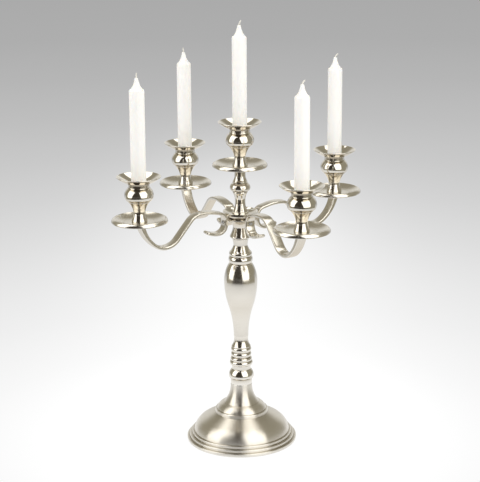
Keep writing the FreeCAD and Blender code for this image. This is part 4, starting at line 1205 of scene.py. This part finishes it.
@dataclass
class Studio:
    """Pale floor, two tall soft lights with a dark gap between them, and the camera."""

    target_height: float = 0.315
    sideways: float = -0.0007
    distance: float = 2.387
    pitch: float = 15.6
    azimuth: float = -30.7
    roll: float = -0.38
    lens: float = 118.85
    floor_radius: float = 14.0
    floor_sides: int = 96
    light_colour: Colour = (1.0, 0.985, 0.955)
    light_away: float = 1.3
    strip_length: float = 1.5
    strip_forward: float = 0.08
    # Painted light: the floor's glow by distance from the object, and a pool of light behind the object.
    floor_falloff_stops: Sequence[Point] = ((0.0, 1.0), (0.31, 1.0), (0.45, 0.93), (0.66, 0.86), (0.91, 0.80),
                                    (1.2, 0.727), (1.57, 0.648), (2.01, 0.581), (2.58, 0.518),
                                    (3.3, 0.465), (4.25, 0.423), (6.0, 0.40))
    light_pool_away: float = 1.2
    light_pool_size: Point = (0.19, 0.60)
    light_pool_gain: float = 0.21
    dark_heading: float = -21.0
    sky_level: float = 0.42
    # Place of the sheet that paints a dim reflection into the polished metal.
    shade_ring: Point = (0.86, 7.0)
    shade_half: float = 112.0
    room_stops: Sequence[tuple[float, Colour]] = (
        (0.0, (0.34, 0.315, 0.25)), (0.55, (0.31, 0.285, 0.21)), (0.84, (0.24, 0.215, 0.155)),
        (0.925, (0.07, 0.06, 0.047)), (1.0, (0.05, 0.043, 0.034)))
    backdrop_stops: Sequence[tuple[float, Colour]] = (
        (0.0, (0.84, 0.83, 0.80)), (0.34, (0.78, 0.765, 0.72)), (0.55, (0.34, 0.315, 0.25)),
        (1.0, (0.27, 0.245, 0.18)))

    def _heading(self, degrees: float) -> Vector:
        """Return the level direction at an angle to the right of the camera's side."""
        a = math.radians(self.azimuth + degrees)
        return Vector((math.sin(a), -math.cos(a), 0.0))

    def floor(self) -> None:
        """Lay the plain floor, which glows by itself: painted light, brightest under the object and fading
        with distance, with a painted pool of light behind it.
        """
        count = self.floor_sides
        verts = [(0.0, 0.0, 0.0)] + [
            (self.floor_radius * math.cos(2 * math.pi * j / count),
             self.floor_radius * math.sin(2 * math.pi * j / count), 0.0) for j in range(count)]
        faces = [(0, j + 1, (j + 1) % count + 1) for j in range(count)]
        material, kit, place = begun("pale_floor")
        away = kit.node("ShaderNodeVectorMath", {"operation": "LENGTH"}, {0: place}, "Value")
        furthest = self.floor_falloff_stops[-1][0]
        ramp = kit.node("ShaderNodeValToRGB", {"stops": [
            (away_at / furthest, (level, level, level)) for away_at, level in self.floor_falloff_stops]},
            {0: away / furthest})
        # Painted pool of light on the floor behind the object.
        across = self._along(kit, place, 90.0) / self.light_pool_size[0]
        back = (self._along(kit, place, 180.0) - self.light_pool_away) / self.light_pool_size[1]
        light_pool = kit.node("ShaderNodeMath", {"operation": "EXPONENT"},
                        {0: (across * across + back * back) * -0.5})
        glow = kit.node("ShaderNodeEmission", inputs={"Color": ramp + light_pool * self.light_pool_gain})
        kit.node("ShaderNodeOutputMaterial", inputs={"Surface": glow})
        self._sheet("pale_floor", verts, faces, material)

    def _sheet(self, name: str, verts: Sequence[Sequence[float]], faces: Sequence[Sequence[int]],
               material: bpy.types.Material) -> bpy.types.Object:
        """Lay one flat sheet of the studio.

        Args:
            name: its name.
            verts: corner points in metres.
            faces: corner numbers of each face.
            material: its material.

        Returns:
            The sheet, linked to the scene.
        """
        mesh = bpy.data.meshes.new(name)
        mesh.from_pydata(verts, [], faces)
        mesh.materials.append(material)
        sheet = bpy.data.objects.new(name, mesh)
        bpy.context.scene.collection.objects.link(sheet)
        return sheet

    def _along(self, kit: NodeKit, way: Wire, degrees: float) -> Wire:
        """Return how far a vector reaches in one level direction."""
        return kit.node("ShaderNodeVectorMath", {"operation": "DOT_PRODUCT"},
                        {0: way, 1: tuple(self._heading(degrees))}, "Value")

    def _level(self, kit: NodeKit, way: Wire) -> Wire:
        """Return the level direction of a vector, one long."""
        flat = kit.node("ShaderNodeVectorMath", {"operation": "MULTIPLY"}, {0: way, 1: (1.0, 1.0, 0.0)})
        return kit.node("ShaderNodeVectorMath", {"operation": "NORMALIZE"}, {0: flat})

    def _room_tone(self, kit: NodeKit, way: Wire) -> Wire:
        """Tint a direction as the dim room shows there, dark behind the camera.

        Args:
            kit: the node kit.
            way: direction or place from the middle of the room.

        Returns:
            The room's colour that way.
        """
        facing = self._along(kit, self._level(kit, way), self.dark_heading)
        return kit.node("ShaderNodeValToRGB", {"stops": list(self.room_stops)}, {0: facing * 0.5 + 0.5})

    def room(self) -> None:
        """Fill the room with a warm dim tone and a pale backdrop behind the object."""
        world = bpy.data.worlds.new("studio_room")
        bpy.context.scene.world = world
        kit = NodeKit(world)
        way = kit.node("ShaderNodeTexCoord", output="Generated")
        front = self._room_tone(kit, way)
        back_way = self._along(kit, self._level(kit, way), 180.0)
        back = kit.node("ShaderNodeValToRGB", {"stops": list(self.backdrop_stops)},
                        {0: kit.height_of(way)})
        tone = kit.blend(((back_way - 0.66) / 0.24).limited(), front, back)
        sight = kit.node("ShaderNodeLightPath", output="Is Camera Ray")
        colour = kit.blend(sight, tone, (self.sky_level,) * 3)
        sky = kit.node("ShaderNodeBackground", inputs={"Color": colour, "Strength": 1.0})
        kit.node("ShaderNodeOutputWorld", inputs={"Surface": sky})

    def front_shade(self) -> None:
        """Lay a dim sheet beyond the pale table as a painted reflection of a dim floor, which only the
        polished metal shows.
        """
        half, count = self.shade_half, 56
        verts = []
        for j in range(count + 1):
            way = self._heading(-half + 2 * half * j / count)
            verts += [tuple(way * radius + Vector((0, 0, 0.002))) for radius in self.shade_ring]
        faces = [(a, a + 2, a + 3, a + 1) for a in range(0, 2 * count, 2)]
        material, kit, place = begun("front_shade")
        glow = kit.node("ShaderNodeEmission", inputs={"Color": self._room_tone(kit, place)})
        kit.node("ShaderNodeOutputMaterial", inputs={"Surface": glow})
        shade = self._sheet("front_shade", verts, faces, material)
        shade.visible_camera = False
        shade.visible_diffuse = False
        shade.visible_shadow = False

    def _area_light(self, name: str, size: Point, power: float) -> bpy.types.Object:
        """Make one light that shines from a rectangle.

        Args:
            name: its name.
            size: width and height in metres.
            power: power in watts.

        Returns:
            The light, not yet placed.
        """
        data = bpy.data.lights.new(name, "AREA")
        data.shape = "RECTANGLE"
        data.size, data.size_y = size
        data.energy = power
        data.color = self.light_colour
        light = bpy.data.objects.new(name, data)
        bpy.context.scene.collection.objects.link(light)
        light.visible_camera = False
        return light

    def _soft_light(self, name: str, degrees: float, elevation: float, size: Point, power: float) -> None:
        """Hang one large soft light.

        Args:
            name: its name.
            degrees: angle to the right of the camera's side.
            elevation: angle over the floor.
            size: width and height in metres.
            power: power in watts.
        """
        rise = math.radians(elevation)
        back = self._heading(degrees) * math.cos(rise) + Vector((0, 0, math.sin(rise)))
        light = self._area_light(name, size, power)
        light.location = Vector((0, 0, self.target_height)) + back * self.light_away
        light.rotation_mode = "QUATERNION"
        light.rotation_quaternion = (-back).to_track_quat("-Z", "Y")

    def _overhead_strip(self, name: str, sideways: float, width: float, power: float) -> None:
        """Hang one long strip light over the object, facing down.

        Args:
            name: its name.
            sideways: distance of its middle to the right of the object, in metres.
            width: its width in metres.
            power: power in watts.
        """
        light = self._area_light(name, (width, self.strip_length), power)
        light.location = (self._heading(90.0) * sideways + self._heading(0.0) * self.strip_forward
                          + Vector((0, 0, self.target_height + self.light_away)))
        light.rotation_euler = (0.0, 0.0, math.radians(self.azimuth))

    def lights(self) -> None:
        """Hang the soft lights."""
        self._soft_light("left_soft_light", -72.0, 27.0, (0.96, 1.7), 8.4)
        self._soft_light("right_soft_light", 37.0, 27.0, (1.3, 1.7), 11.3)
        self._overhead_strip("left_strip_light", -0.63, 0.54, 3.9)
        self._overhead_strip("right_strip_light", 0.39, 0.60, 4.4)

    def camera(self) -> None:
        """Stand the camera at the working view."""
        data = bpy.data.cameras.new("view_camera")
        data.lens = self.lens
        data.sensor_width = 36.0
        camera = bpy.data.objects.new("view_camera", data)
        bpy.context.scene.collection.objects.link(camera)
        rise = math.radians(self.pitch)
        side = self._heading(90.0)
        back = self._heading(0.0) * math.cos(rise) + Vector((0, 0, math.sin(rise)))
        camera.location = Vector((0, 0, self.target_height)) + side * self.sideways + back * self.distance
        camera.rotation_mode = "QUATERNION"
        look = (-back).to_track_quat("-Z", "Y").to_matrix().to_4x4()
        tilt = Matrix.Rotation(math.radians(self.roll), 4, "Z")
        camera.rotation_quaternion = (look @ tilt).to_quaternion()
        bpy.context.scene.camera = camera

    def build(self) -> None:
        """Set the studio up."""
        bpy.context.scene.view_settings.view_transform = "Standard"
        for part in (self.floor, self.room, self.front_shade, self.lights, self.camera):
            part()


def main() -> None:
    """Build the candelabra and its studio in order."""
    logging.basicConfig(level=logging.INFO, format="%(name)s: %(message)s")
    finishes = FinishShelf()
    BellBase().build(finishes)
    Column().build(finishes)
    Hub().build(finishes)
    for number in range(1, ARM_COUNT + 1):
        StrapArm(number).build(finishes)
    for number, (bend, heading, thick) in enumerate(WICKS, start=1):
        CandleLight(number, bend, heading, thick).build(finishes)
    Fixings().build(finishes)
    Studio().build()


if __name__ == "__main__":
    main()
